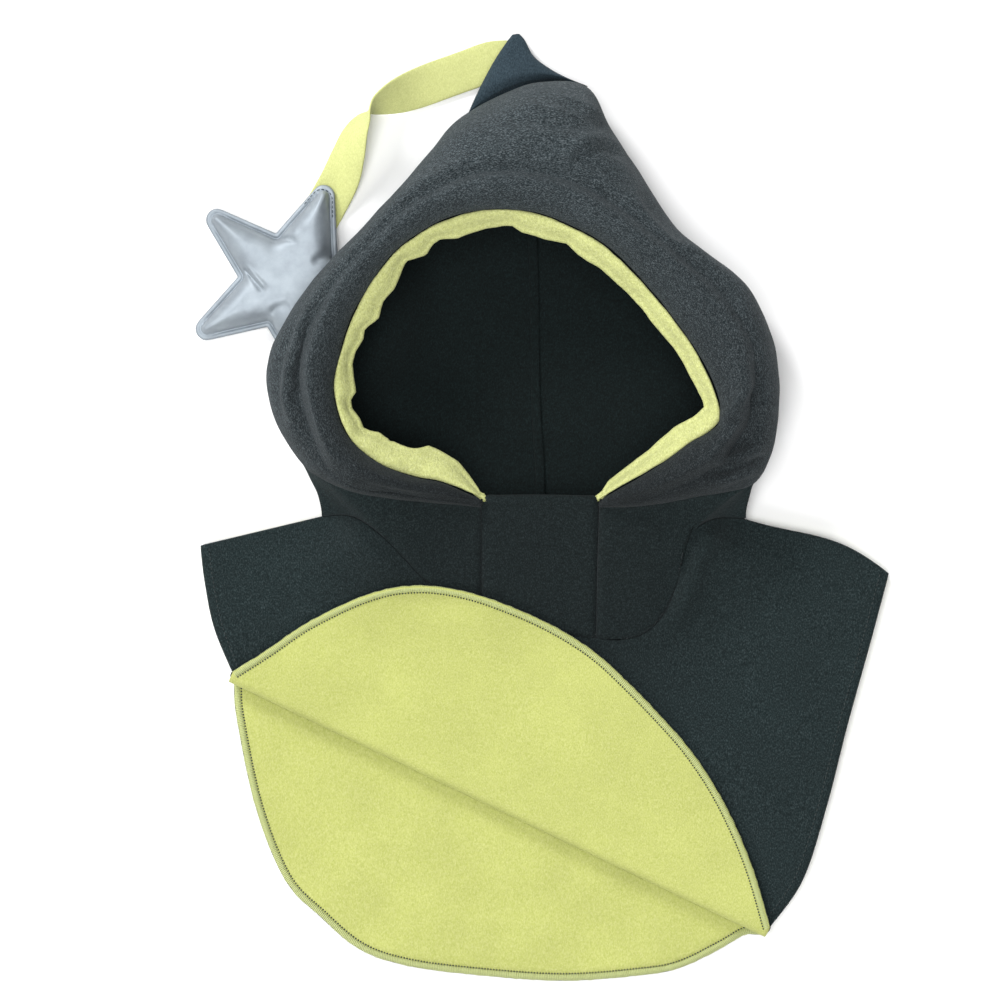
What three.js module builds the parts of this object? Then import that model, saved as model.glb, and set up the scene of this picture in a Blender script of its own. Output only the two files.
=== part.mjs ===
// Fleece hood with a shoulder cape, lying on its back. Millimetres, +Z up, +Y towards the hood's tip.
// The origin is on the surface below the middle of the whole object's box.
import * as THREE from "three";

// Driving dimensions
const HOOD_CLOTH = 2.2; // wall of the hood
const CAPE_CLOTH = 2.0; // wall of each cape layer
const PLY_GAP = 0.4; // clearance between two layers that lie on each other
const SEAM_GAP = 0.4; // clearance between two pieces that are sewn edge to edge
const SHELL_GAP = 0.8; // clearance between the pieces of the hood's shell
const NECK_SEAM_GAP = 1.2; // clearance round the neck, where the cloth turns over the seam
const RING_HEIGHT = 11; // crest of the rolled ring above the rim
const RING_FULL = 20; // a narrower ring is lower too
const FLOOR_CORNER = 13; // how far in from its outline the hood touches the surface
const TRIM_CLOTH = 2.2;
const TRIM_DROP = 6; // how far the band slopes down into the face opening
const TRIM_WAVE = 0.9; // ripple of the band's inner edge
const TRIM_WAVES = 26; // ripples round the opening
const FOLD_INSIDE = 1.4; // inner radius of the bib's fold
const FOLD_LIFT_REACH = 26; // how far from the fold the flap settles on the bib
const RIBBON_WIDTH = 22;
const RIBBON_CLOTH = 2.0;
const RIBBON_CORNER_STEPS = 34;
const RIBBON_CLEARANCE = 0.1;
const STAR_ARM = 51; // centre of the star to the centre of an arm's round end
const STAR_ARM_END = 6.2; // radius of that end
const STAR_INNER = 27; // centre to an inner corner
const STAR_RIM = 4.2; // width of the flat sewn edge
const STAR_RISE = 11; // padding above the sewn edge
const STAR_CENTRE = [-140.7, 124.8];
const STAR_TURN = 66.5; // degrees from +X to the arm that holds the ribbon
const STAR_TURNS = [0, 3, 6.5, 14, 25, 36]; // degrees from an arm's middle to the points of its outline

const COLOURS = { dark: 0x2c3133, lime: 0xdcec7c, silver: 0xaebccb };

// Sections of the hood, from the left end of the chin over the top to its right end. Each runs from the
// rim of the face opening to the outline, or under the chin to the crease above the neck.
// trim and ring are the widths of the lime band and of the rolled ring there, and dip is how far the cloth
// falls from the ring's crest to the valley behind it.
const HOOD = [
  { rim: [-32, 5, 33], side: [-34, 1, 31], trim: 1, ring: 2.5, dip: 1 },
  { rim: [-53, 14, 37], side: [-59, 3, 32], trim: 11, ring: 7.2, dip: 2.8 },
  { rim: [-71, 18, 40], side: [-80, 5, 34], trim: 16, ring: 9.5, dip: 3.4 },
  { rim: [-86, 23, 44], side: [-104, 10, 36], trim: 14, ring: 13.5, dip: 5 },
  { rim: [-98, 31, 47], side: [-120, 17, 35], trim: 12, ring: 18.5, dip: 8 },
  { rim: [-105, 39, 50], side: [-130, 24, 31], trim: 11, ring: 18, dip: 11 },
  { rim: [-110, 50, 52], side: [-144, 44, 28], trim: 10, ring: 18, dip: 13 },
  { rim: [-113, 67, 53], side: [-150, 67, 28], trim: 11, ring: 18.5, dip: 13 },
  { rim: [-109, 85, 54], side: [-148, 87, 28], trim: 9, ring: 20.5, dip: 11 },
  { rim: [-101, 103, 56], side: [-138, 105, 28], trim: 10, ring: 23.5, dip: 8 },
  { rim: [-91, 121, 58], side: [-122, 127, 28], trim: 9, ring: 22.5, dip: 4 },
  { rim: [-78, 137, 60], side: [-103, 148, 28], trim: 9, ring: 20.5, dip: 2.5 },
  { rim: [-61, 149, 62], side: [-82, 171, 26], trim: 9, ring: 22.5, dip: 3 },
  { rim: [-47, 156, 63], side: [-62, 193, 22], trim: 10, ring: 21.5, dip: 3 },
  { rim: [-33, 160, 64], side: [-41, 215, 18], trim: 10, ring: 21, dip: 3 },
  { rim: [-14, 160, 65], side: [-6, 232, 18], trim: 11, ring: 20, dip: 3 },
  { rim: [0, 157, 65], side: [23, 230, 19], trim: 10, ring: 21, dip: 3 },
  { rim: [12, 151, 64], side: [37, 207, 24], trim: 9, ring: 23, dip: 3 },
  { rim: [25, 143, 63], side: [52, 183, 26], trim: 9, ring: 25.5, dip: 3 },
  { rim: [38, 133, 62], side: [70, 154, 28], trim: 9, ring: 29, dip: 3 },
  { rim: [51, 119, 60], side: [93, 136, 28], trim: 9, ring: 34, dip: 3 },
  { rim: [64, 102, 58], side: [111, 119, 28], trim: 9, ring: 36, dip: 4 },
  { rim: [78, 84, 56], side: [123, 94, 28], trim: 8, ring: 35, dip: 8 },
  { rim: [89, 65, 54], side: [127, 67, 28], trim: 8, ring: 26, dip: 13 },
  { rim: [93, 50, 52], side: [127, 46, 28], trim: 9, ring: 18.5, dip: 15 },
  { rim: [87, 42, 50], side: [122, 27, 30], trim: 11, ring: 16.5, dip: 14 },
  { rim: [77, 37, 48], side: [111, 13, 32], trim: 12, ring: 19, dip: 10 },
  { rim: [65, 29, 45], side: [86, 8, 34], trim: 12, ring: 17.5, dip: 6 },
  { rim: [52, 21, 42], side: [65, 3, 34], trim: 10, ring: 13, dip: 4.6 },
  { rim: [40, 13, 38], side: [48, 1, 33], trim: 6, ring: 8, dip: 2.8 },
  { rim: [29, 5, 33], side: [30, 1, 31], trim: 1, ring: 2.4, dip: 0.9 },
];
const OUTLINE_START = 5; // the row where the hood's outline leaves the crease above the neck
const HOOD_SPLIT = 2; // modelled sections for each row

// Outlines of the cape, seen from above.
const NECK_SEAM_LEFT = [[-34, -63], [-50, -51], [-66, -37], [-87, -15], [-104, -4], [-121, -4]];
const NECK_SEAM_RIGHT = [[29, -71], [50, -70], [64, -60], [73, -40], [76, -23], [82, -11], [94, -5], [111, -5]];
const BACK_NECK = [[-120, -6], [-108, -9], [-54, -12], [-1, -12], [50, -12], [100, -9], [110, -6]];
const SHOULDER_LEFT = [[-121, -4], [-150, -14], [-187, -20.5]];
const SHOULDER_RIGHT = [[111, -5], [131, -9], [160, -18], [180, -28], [188.5, -35.5]];
const SIDE_LEFT = [[-187, -20.5], [-184, -41], [-178, -65], [-170, -90]];
const SIDE_RIGHT = [[188.5, -35.5], [178.5, -73], [166, -118], [154.5, -163], [141.5, -203], [122, -231]];
const FOLD_START = [-169.5, -93.5];
const FOLD_END = [121, -234];
const FLAP_HEM = [
  [-149.5, -76.5], [-133, -65], [-116.5, -56], [-100, -48.5], [-83.5, -43.5], [-67, -42], [-51, -43.5],
  [-34.5, -47.5], [-18, -53.5], [-2, -60.5], [14.5, -69.5], [31, -81], [47.5, -96.5], [64, -113.5],
  [80.5, -132.5], [97, -158], [112.5, -192],
];
const BACK_HEM = [
  [-170, -90], [-168, -113], [-157.5, -163], [-141.5, -203], [-122, -223.5], [-101, -241], [-78, -249.5],
  [-45, -254.5], [9, -258.5], [53, -255.5], [75, -251.5], [97, -241], [111, -233], [122, -231],
];
const NECK_CORE = [[-78, 6], [70, 6]]; // the hollow neck holds the cloth up along this line
const NECK_RISE = 22;
const NECK_REACH = 88;
const SHOULDER_DROP = 26; // the raised cloth falls to the shoulder seam over this distance
const SHOULDER_BULGE = 6.2; // how far the right shoulder stands out from a straight line
const SHOULDER_SKEW = 1.6; // moves its fullest place outward
const BULGE_REACH = 0.18; // share of the bib's width that follows the bulge
const STAR_LIFT = 14; // the star lies under the hood and lifts it there
const STAR_LIFT_CENTRE = [-122, 108];
const STAR_LIFT_REACH = 66;
const STAR_LIFT_SLOPE = 30;
const BACK_NECK_SAG = 1.8; // how far the back neck seam curves down
const WAIST_LEFT = 2; // how far the neck is drawn in at its sides
const WAIST_RIGHT = 4;
const WAIST_REACH = 24;
const CAPE_TOP = 4 * CAPE_CLOTH + 3 * PLY_GAP; // top of four layers on each other

// The end of the cone: a row for each section from the fold to the point. bow is how far its middle
// stands forward of its ends.
const TIP = [
  { left: [-41, 217], right: [24.5, 232], bow: 17.5, top: 12 },
  { left: [-36.5, 227], right: [14, 235.6], bow: 9, top: 14 },
  { left: [-31, 238], right: [4, 241], bow: 1.5, top: 13 },
  { left: [-26, 247], right: [-5, 248], bow: 0, top: 11 },
  { left: [-20, 256], right: [-10, 257], bow: 0, top: 9 },
  { left: [-17, 260], right: [-13, 260.5], bow: 0, top: 7.5 },
];
const TIP_BOTTOM = 3.0;

// The ribbon's middle line, with the turn of its cloth in degrees. Its lower edge stays on the surface.
const RIBBON = [
  { at: [-15, 246.5], turn: 0 },
  { at: [-28, 246], turn: 0 },
  { at: [-42, 242], turn: 2 },
  { at: [-59, 236], turn: 7 },
  { at: [-74.5, 229.5], turn: 28 },
  { at: [-87, 223], turn: 58 },
  { at: [-92.5, 219], turn: 78 },
  { at: [-98, 214.5], turn: 110 },
  { at: [-104, 205.5], turn: 131 },
  { at: [-108.5, 193.5], turn: 149 },
  { at: [-113.5, 181], turn: 168 },
  { at: [-121.3, 167.3], turn: 179 },
  { at: [-126.6, 157], turn: 180 },
];

// Numbers and curves

const mix = (a, b, t) => a + (b - a) * t;
const mixPoint = (p, q, t) => p.map((value, axis) => mix(value, q[axis], t));
const smooth = (t) => {
  const k = Math.min(1, Math.max(0, t));
  return k * k * (3 - 2 * k);
};
const distance = (p, q) => Math.hypot(p[0] - q[0], p[1] - q[1]);

// A point of the smooth curve through a list, at place t counted in rows of the list.
function curveAt(points, t) {
  const row = Math.min(points.length - 2, Math.floor(t));
  const [p0, p1, p2, p3] = [-1, 0, 1, 2].map(
    (step) => points[Math.min(points.length - 1, Math.max(0, row + step))],
  );
  const k = t - row;
  return p1.map((value, axis) => {
    const slopeIn = (p2[axis] - p0[axis]) / 2;
    const slopeOut = (p3[axis] - p1[axis]) / 2;
    const rise = p2[axis] - value;
    const square = 3 * rise - 2 * slopeIn - slopeOut;
    const cube = slopeIn + slopeOut - 2 * rise;
    return value + slopeIn * k + square * k * k + cube * k ** 3;
  });
}

// Points at equal steps along the smooth curve through a list.
function evenly(points, steps) {
  const fine = [];
  const perRow = 12;
  for (let i = 0; i <= (points.length - 1) * perRow; i++) fine.push(curveAt(points, i / perRow));
  const along = [0];
  for (let i = 1; i < fine.length; i++) along.push(along[i - 1] + distance(fine[i], fine[i - 1]));
  const total = along[along.length - 1];
  const result = [];
  let i = 1;
  for (let step = 0; step <= steps; step++) {
    const target = (total * step) / steps;
    while (i < fine.length - 1 && along[i] < target) i++;
    result.push(mixPoint(fine[i - 1], fine[i], (target - along[i - 1]) / (along[i] - along[i - 1])));
  }
  return result;
}

function distanceToLine(point, line) {
  let nearest = Infinity;
  for (let i = 1; i < line.length; i++) {
    const [a, b] = [line[i - 1], line[i]];
    const along = (point[0] - a[0]) * (b[0] - a[0]) + (point[1] - a[1]) * (b[1] - a[1]);
    const t = Math.min(1, Math.max(0, along / distance(a, b) ** 2));
    nearest = Math.min(nearest, distance(point, mixPoint(a, b, t)));
  }
  return nearest;
}

// Surfaces and solids

// A surface of joined grids. Points in the same place are one vertex, so grids that meet are sewn.
class Surface {
  constructor() {
    this.points = [];
    this.given = [];
    this.faces = [];
    this.parts = [];
    this.places = new Map();
  }

  // A point is x, y, z and may add the three parts of its own normal.
  vertex(point) {
    const key = point.slice(0, 3).map((value) => Math.round(value * 500)).join();
    if (!this.places.has(key)) {
      this.places.set(key, this.points.length);
      this.points.push(new THREE.Vector3(...point.slice(0, 3)));
      this.given.push(point.length > 3 ? new THREE.Vector3(...point.slice(3)) : null);
    }
    return this.places.get(key);
  }

  triangle(a, b, c, part) {
    if (a === b || b === c || a === c) return;
    this.faces.push([a, b, c]);
    this.parts.push(part);
  }

  // Faces point to the side from which the rows run left to right and the next row lies above.
  // Where one surface is made up as several pieces, each grid names the piece that it belongs to.
  grid(rows, part = "") {
    const ids = rows.map((row) => row.map((point) => this.vertex(point)));
    for (let r = 1; r < ids.length; r++) {
      for (let c = 1; c < ids[r].length; c++) {
        const [a, b, d, e] = [ids[r - 1][c - 1], ids[r - 1][c], ids[r][c], ids[r][c - 1]];
        this.triangle(a, b, d, part);
        this.triangle(a, d, e, part);
      }
    }
    return this;
  }

  normals() {
    const sums = this.points.map(() => new THREE.Vector3());
    for (const [a, b, c] of this.faces) {
      const side = this.points[b].clone().sub(this.points[a]);
      const face = side.cross(this.points[c].clone().sub(this.points[a]));
      for (const id of [a, b, c]) sums[id].add(face);
    }
    return sums.map((sum, id) => this.given[id] ?? sum.normalize());
  }
}

const edgesOf = ([a, b, c]) => [[a, b], [b, c], [c, a]];

// One piece of a surface, with the surface's own normals. Its points are drawn back by half a gap where it
// meets the next piece.
function pieceOf(surface, part) {
  const normals = surface.normals();
  const faces = surface.faces.filter((_, i) => surface.parts[i] === part);
  const every = new Set(surface.faces.flatMap(edgesOf).map(String));
  const own = new Set(faces.flatMap(edgesOf).map(String));
  const cut = new Set();
  for (const [from, to] of faces.flatMap(edgesOf)) {
    const twin = `${to},${from}`;
    if (every.has(twin) && !own.has(twin)) [from, to].forEach((id) => cut.add(id));
  }
  const inward = new Map([...cut].map((id) => [id, new THREE.Vector3()]));
  for (const [from, to] of faces.flatMap(edgesOf)) {
    const away = surface.points[to].clone().sub(surface.points[from]).normalize();
    if (cut.has(from) && !cut.has(to)) inward.get(from).add(away);
    if (cut.has(to) && !cut.has(from)) inward.get(to).sub(away);
  }
  const result = new Surface();
  const ids = new Map();
  for (const id of faces.flat()) {
    if (ids.has(id)) continue;
    const point = surface.points[id].clone();
    if (cut.has(id)) point.addScaledVector(inward.get(id).normalize(), SHELL_GAP / 2);
    ids.set(id, result.vertex([...point.toArray(), ...normals[id].toArray()]));
  }
  for (const face of faces) result.triangle(...face.map((id) => ids.get(id)), part);
  return result;
}

// A layer of cloth below a surface, which starts at a depth measured along the surface's normals.
function ply(surface, thickness, depth = 0) {
  const normals = surface.normals();
  const moved = (by) => surface.points.map((point, id) => point.clone().addScaledVector(normals[id], -by));
  const points = [...moved(depth), ...moved(depth + thickness)];
  const count = surface.points.length;
  const triangles = [];
  const edges = new Map();
  for (const [a, b, c] of surface.faces) {
    triangles.push(a, b, c, a + count, c + count, b + count);
    for (const [from, to] of edgesOf([a, b, c])) edges.set(`${from},${to}`, [from, to]);
  }
  for (const [from, to] of edges.values()) {
    if (!edges.has(`${to},${from}`)) triangles.push(from, to + count, to, from, from + count, to + count);
  }
  return solid(points, triangles);
}

function solid(points, triangles) {
  const geometry = new THREE.BufferGeometry();
  geometry.setAttribute("position", new THREE.Float32BufferAttribute(points.flatMap((p) => p.toArray()), 3));
  geometry.setIndex(triangles);
  geometry.computeVertexNormals();
  return geometry;
}

// A closed solid through rings of equally many points, with flat ends.
function loft(rings) {
  const surface = new Surface();
  surface.grid(rings.map((ring) => [...ring, ring[0]]));
  for (const [ring, first] of [[rings[0], true], [rings[rings.length - 1], false]]) {
    const share = 1 / ring.length;
    const middle = ring.reduce((sum, point) => sum.map((value, axis) => value + share * point[axis]), [0, 0, 0]);
    const centre = surface.vertex(middle);
    for (let i = 0; i < ring.length; i++) {
      const a = surface.vertex(ring[i]);
      const b = surface.vertex(ring[(i + 1) % ring.length]);
      if (first) surface.triangle(centre, b, a);
      else surface.triangle(centre, a, b);
    }
  }
  return solid(surface.points, surface.faces.flat());
}

function piece(name, geometry, colour, roughness, metalness = 0) {
  const material = new THREE.MeshStandardMaterial({ color: colour, roughness, metalness });
  const mesh = new THREE.Mesh(geometry, material);
  mesh.name = name;
  return mesh;
}

// Hood

const sectionAt = (t) => ({
  rim: curveAt(HOOD.map((row) => row.rim), t),
  side: curveAt(HOOD.map((row) => row.side), t),
  trim: curveAt(HOOD.map((row) => [row.trim]), t)[0],
  ring: curveAt(HOOD.map((row) => [row.ring]), t)[0],
  dip: curveAt(HOOD.map((row) => [row.dip]), t)[0],
});
const SECTIONS = [];
for (let i = 0; i <= (HOOD.length - 1) * HOOD_SPLIT; i++) SECTIONS.push(sectionAt(i / HOOD_SPLIT));

const VALLEY_REACH = 3.5; // from the ring's end to the valley behind it
const VALLEY_COLUMN = 4; // the point of a section where that valley is
const CORNER_STEPS = 3; // steps round the hood's lower corner
const FOLD_ROWS = 2; // rows below the crosswise fold, where the sides of the hood meet

// From the rim over the ring and its valley, then round to the outline.
function hoodSection({ rim, side, ring: fullRing, dip }) {
  const length = distance(rim, side);
  const ring = Math.min(fullRing, 0.85 * length);
  const height = RING_HEIGHT * Math.min(1, ring / RING_FULL);
  const valley = Math.min(ring + VALLEY_REACH, 0.5 * (ring + length));
  const valleyHeight = rim[2] + height - dip;
  const at = (out, z) => [...mixPoint(rim.slice(0, 2), side.slice(0, 2), out / length), z];
  const points = [
    at(0, rim[2]),
    at(0.2 * ring, rim[2] + 0.62 * height),
    at(0.5 * ring, rim[2] + height),
    at(0.8 * ring, rim[2] + 0.84 * height),
    at(valley, valleyHeight),
  ];
  const roundSteps = 5;
  for (let step = 1; step <= roundSteps; step++) {
    const angle = (step / roundSteps) * (Math.PI / 2);
    const out = mix(valley, length, Math.sin(angle));
    points.push(at(out, mix(side[2], valleyHeight, Math.cos(angle))));
  }
  return points;
}

// The star lies partly under the hood and lifts it there.
function liftOverStar(x, y) {
  return STAR_LIFT * smooth((STAR_LIFT_REACH - distance([x, y], STAR_LIFT_CENTRE)) / STAR_LIFT_SLOPE);
}

// From the outline down its rounded lower corner and along the surface to the middle.
function hoodUnderHalf(side, middle, depth) {
  const width = distance(side, middle);
  const corner = Math.min(FLOOR_CORNER, 0.8 * width);
  const points = [];
  const place = (inward, share) => {
    const [x, y] = mixPoint(side.slice(0, 2), middle, width ? inward / width : 0);
    const low = mix(side[2], liftOverStar(x, y), depth);
    points.push([x, y, mix(side[2], low, share)]);
  };
  for (let step = 0; step <= CORNER_STEPS; step++) {
    const angle = (step / CORNER_STEPS) * (Math.PI / 2);
    place(corner * (1 - Math.cos(angle)), Math.sin(angle));
  }
  for (const share of [0.25, 0.5, 0.75, 1]) place(mix(corner, width, share), 1);
  return points;
}

const FIRST = OUTLINE_START * HOOD_SPLIT;
const LAST = SECTIONS.length - 1 - FIRST;
const MIDDLE = (SECTIONS.length - 1) / 2;
const TIP_ROUNDING = 62; // width of the cone where its lower side begins to lift to the fold
const SEAM_X = -1;

const sideOf = (i) => hoodSection(SECTIONS[i]).at(-1);

function hoodUnderRow(k) {
  const left = sideOf(FIRST + k);
  const right = sideOf(LAST - k);
  const width = distance(left, right);
  const depth = Math.sqrt(Math.min(1, width / TIP_ROUNDING));
  const centre = mixPoint(left.slice(0, 2), right.slice(0, 2), 0.5);
  if (width > TIP_ROUNDING) centre[0] = mix(centre[0], SEAM_X, 0.7);
  const rightHalf = hoodUnderHalf(right, centre, depth);
  const leftHalf = [...hoodUnderHalf(left, centre, depth).slice(0, -1), rightHalf.at(-1)];
  return { leftHalf, rightHalf };
}

// Height of the outside of the front cloth, over the neck and the bib.
function frontHeight(x, y) {
  const fromNeck = distanceToLine([x, y], NECK_CORE);
  const fromShoulder = Math.min(distanceToLine([x, y], SHOULDER_LEFT), distanceToLine([x, y], SHOULDER_RIGHT));
  const settle = smooth(fromShoulder / SHOULDER_DROP);
  return CAPE_TOP + NECK_RISE * smooth(1 - fromNeck / NECK_REACH) * settle;
}

// The hood's lower edge on one side: along the front neck seam to the shoulder, round it and along the back.
function neckEdge(seam, steps, backEnd) {
  const front = evenly(seam, steps).map(([x, y]) => [x, y, frontHeight(x, y)]);
  const notch = front[steps];
  const floor = hoodUnderHalf(notch, backEnd, 1);
  const start = notch.slice(0, 2);
  const reach = distance(start, backEnd);
  return [...front, ...floor.slice(1).map(([x, y, z]) => {
    const share = distance([x, y], start) / reach;
    return [x, y - BACK_NECK_SAG * Math.sin(Math.PI * share), z];
  })];
}

const NECK_ROWS = 5;
const BACK_NECK_MIDDLE = [SEAM_X, -11];

// The neck from the crease down to its seam, drawn in at the side.
function neckRows(top, seam, waist) {
  const bottom = neckEdge(seam, FIRST, BACK_NECK_MIDDLE);
  const outline = [top[FIRST], bottom[FIRST]];
  const rows = [];
  for (let r = 0; r <= NECK_ROWS; r++) {
    const t = r / NECK_ROWS;
    rows.push(top.map((point, c) => {
      const [x, y, z] = mixPoint(point, bottom[c], t);
      const near = smooth(1 - distanceToLine([x, y], outline) / WAIST_REACH);
      return [x - waist * near * Math.sin(Math.PI * t), y, z];
    }));
  }
  return rows;
}

function leftNeck() {
  const crease = [];
  for (let i = 0; i <= FIRST; i++) crease.push(sideOf(i));
  return neckRows([...crease, ...hoodUnderRow(0).leftHalf.slice(1)], NECK_SEAM_LEFT, -WAIST_LEFT);
}

function rightNeck() {
  const crease = [];
  for (let i = SECTIONS.length - 1; i >= LAST; i--) crease.push(sideOf(i));
  return neckRows([...crease, ...hoodUnderRow(0).rightHalf.slice(1)], NECK_SEAM_RIGHT, WAIST_RIGHT);
}

// The hood's cloth as one surface of six pieces: the rolled ring, the left and right sides, the back, and
// the two sides of the neck.
function hoodSurface() {
  const surface = new Surface();
  const curves = SECTIONS.map(hoodSection);
  const columns = (rows, from, to) => rows.map((row) => row.slice(from, to));
  const turned = (rows) => rows.map((row) => [...row].reverse());
  surface.grid(turned(columns(curves, 0, VALLEY_COLUMN + 1)), "hood_ring");
  const behindRing = columns(curves, VALLEY_COLUMN);
  surface.grid(turned(behindRing.slice(0, FIRST + 1)), "neck_left");
  surface.grid(turned(behindRing.slice(FIRST, MIDDLE + 1)), "hood_left");
  surface.grid(turned(behindRing.slice(MIDDLE, LAST + 1)), "hood_right");
  surface.grid(turned(behindRing.slice(LAST)), "neck_right");
  const leftUnder = [];
  const rightUnder = [];
  for (let k = 0; k <= MIDDLE - FIRST; k++) {
    const { leftHalf, rightHalf } = hoodUnderRow(k);
    leftUnder.push(leftHalf);
    rightUnder.push(rightHalf);
  }
  const endRow = leftUnder.length - 1 - FOLD_ROWS;
  surface.grid(turned(columns(leftUnder, 0, CORNER_STEPS + 1)), "hood_left");
  surface.grid(columns(rightUnder, 0, CORNER_STEPS + 1), "hood_right");
  for (const [from, to, left, right] of [
    [0, endRow + 1, "hood_back", "hood_back"],
    [endRow, leftUnder.length, "hood_left", "hood_right"],
  ]) {
    surface.grid(turned(columns(leftUnder.slice(from, to), CORNER_STEPS)), left);
    surface.grid(columns(rightUnder.slice(from, to), CORNER_STEPS), right);
  }
  const neckCorner = FIRST + CORNER_STEPS;
  surface.grid(columns(leftNeck(), 0, neckCorner + 1), "neck_left");
  surface.grid(columns(leftNeck(), neckCorner), "hood_back");
  surface.grid(turned(columns(rightNeck(), 0, neckCorner + 1)), "neck_right");
  surface.grid(turned(columns(rightNeck(), neckCorner)), "hood_back");
  return surface;
}

function neckInsertSurface() {
  const left = leftNeck().map((row) => row[0]);
  const right = rightNeck().map((row) => row[0]);
  const steps = 6;
  const across = (a, b) => {
    const row = [];
    for (let c = 0; c <= steps; c++) {
      const t = mix(SEAM_GAP / 60, 1 - SEAM_GAP / 60, c / steps);
      const [x, y, z] = mixPoint(a, b, t);
      row.push([x, y, z]);
    }
    return row;
  };
  const chin = across(SECTIONS[0].rim, SECTIONS.at(-1).rim);
  const rows = [chin, ...left.map((point, r) => across(point, right[r]))];
  return new Surface().grid(rows.map((row) => [...row].reverse()));
}

function trimSurface() {
  const rows = SECTIONS.map(({ rim, side, trim }, i) => {
    const length = distance(rim, side);
    const inward = [(rim[0] - side[0]) / length, (rim[1] - side[1]) / length];
    const ripple = 1 + (TRIM_WAVE / 10) * Math.sin((2 * Math.PI * TRIM_WAVES * i) / SECTIONS.length);
    const width = trim * ripple;
    const at = (reach, drop) => [
      rim[0] + inward[0] * reach,
      rim[1] + inward[1] * reach,
      rim[2] - drop * Math.min(1, trim / 8),
    ];
    return [
      at(SEAM_GAP, 0),
      at(SEAM_GAP + 0.5 * width, 0.25 * TRIM_DROP),
      at(SEAM_GAP + width, TRIM_DROP),
    ];
  });
  return new Surface().grid(rows);
}

// Cape

const foldAlong = new THREE.Vector2(FOLD_END[0] - FOLD_START[0], FOLD_END[1] - FOLD_START[1]).normalize();
const foldAcross = [-foldAlong.y, foldAlong.x]; // towards the neck
const FOLD_OUTSIDE = FOLD_INSIDE + 2 * CAPE_CLOTH + PLY_GAP;
const FOLD_AXIS_HEIGHT = CAPE_TOP + FOLD_INSIDE;

const UP = [0, 0, 1];
const DOWN = [0, 0, -1];
const overFold = ([x, y], reach) => [x + foldAcross[0] * reach, y + foldAcross[1] * reach];

// How far a point of the bib is moved by the bulge of the right shoulder. across is the share of the way
// from the left shoulder to the right one, and t the share from the neck to the outline.
function shoulderBulge(across, t) {
  const near = smooth((across - 1 + BULGE_REACH) / BULGE_REACH);
  return SHOULDER_BULGE * near * Math.sin(Math.PI * t ** SHOULDER_SKEW);
}

// The bib from the neck to its sides and to the fold, as rows of points.
const SIDE_LEFT_STEPS = 4;
const FOLD_STEPS = 18;
const SIDE_RIGHT_STEPS = 6;
const INSERT_STEPS = 8;

function bibRows() {
  const left = evenly(NECK_SEAM_LEFT, FIRST).reverse();
  const right = evenly(NECK_SEAM_RIGHT, FIRST);
  const insert = evenly([left[FIRST], right[0]], INSERT_STEPS).slice(1, -1);
  const inner = [...left, ...insert, ...right];
  const fold = [];
  for (let i = 0; i <= FOLD_STEPS; i++) {
    fold.push(overFold(mixPoint(FOLD_START, FOLD_END, i / FOLD_STEPS), FOLD_OUTSIDE));
  }
  const sideLeft = evenly([...SIDE_LEFT.slice(0, -1), fold[0]], SIDE_LEFT_STEPS);
  const sideRight = evenly([...SIDE_RIGHT.slice(0, -1), fold[FOLD_STEPS]], SIDE_RIGHT_STEPS).reverse();
  const outer = [...sideLeft, ...fold.slice(1), ...sideRight.slice(1)];
  const rows = [];
  for (const t of [0, 0.1, 0.24, 0.42, 0.68, 1]) {
    rows.push(inner.map((start, c) => {
      const near = outwardOf(inner, c, NECK_SEAM_GAP);
      const [x, straightY] = mixPoint(near, outer[c], t);
      const y = straightY + shoulderBulge(c / (inner.length - 1), t);
      return [x, y, frontHeight(x, y), ...UP];
    }));
  }
  return { rows, fold };
}

// A point of a line moved off it, to the right of the way it runs.
function outwardOf(line, c, reach) {
  const before = line[Math.max(0, c - 1)];
  const after = line[Math.min(line.length - 1, c + 1)];
  const length = distance(before, after);
  const [x, y] = line[c];
  return [x + ((after[1] - before[1]) / length) * reach, y - ((after[0] - before[0]) / length) * reach];
}

// The dark side of the front bib: down from the neck, round the fold and up along the flap.
function frontSurface() {
  const { rows, fold } = bibRows();
  const surface = new Surface();
  surface.grid([...rows].reverse());
  const bend = fold.map(([x, y]) => {
    const column = [[x, y, frontHeight(x, y), ...UP]];
    const bendSteps = 4;
    for (let step = 1; step <= bendSteps; step++) {
      const angle = (step / bendSteps) * Math.PI;
      const [bx, by] = overFold([x, y], -FOLD_INSIDE * Math.sin(angle));
      const toAxis = [foldAcross[0] * Math.sin(angle), foldAcross[1] * Math.sin(angle), Math.cos(angle)];
      column.push([bx, by, FOLD_AXIS_HEIGHT - FOLD_INSIDE * Math.cos(angle), ...toAxis]);
    }
    return column;
  });
  const hem = evenly([fold[0], ...FLAP_HEM, fold[FOLD_STEPS]], FOLD_STEPS);
  const flap = bend.map((column, c) => {
    const start = column.at(-1);
    const points = [...column];
    const flapSteps = 5;
    for (let step = 1; step <= flapSteps; step++) {
      const t = step / flapSteps;
      const [x, y] = mixPoint(start.slice(0, 2), hem[c], t);
      const reach = distance([x, y], start);
      const lift = (2 * FOLD_INSIDE - PLY_GAP) * Math.exp(-((reach / FOLD_LIFT_REACH) ** 2));
      points.push([x, y, frontHeight(x, y) + PLY_GAP + lift, ...DOWN]);
    }
    return points;
  });
  const flapRows = flap[0].map((_, r) => flap.map((column) => column[r]));
  surface.grid([...flapRows].reverse());
  return surface;
}

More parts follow.
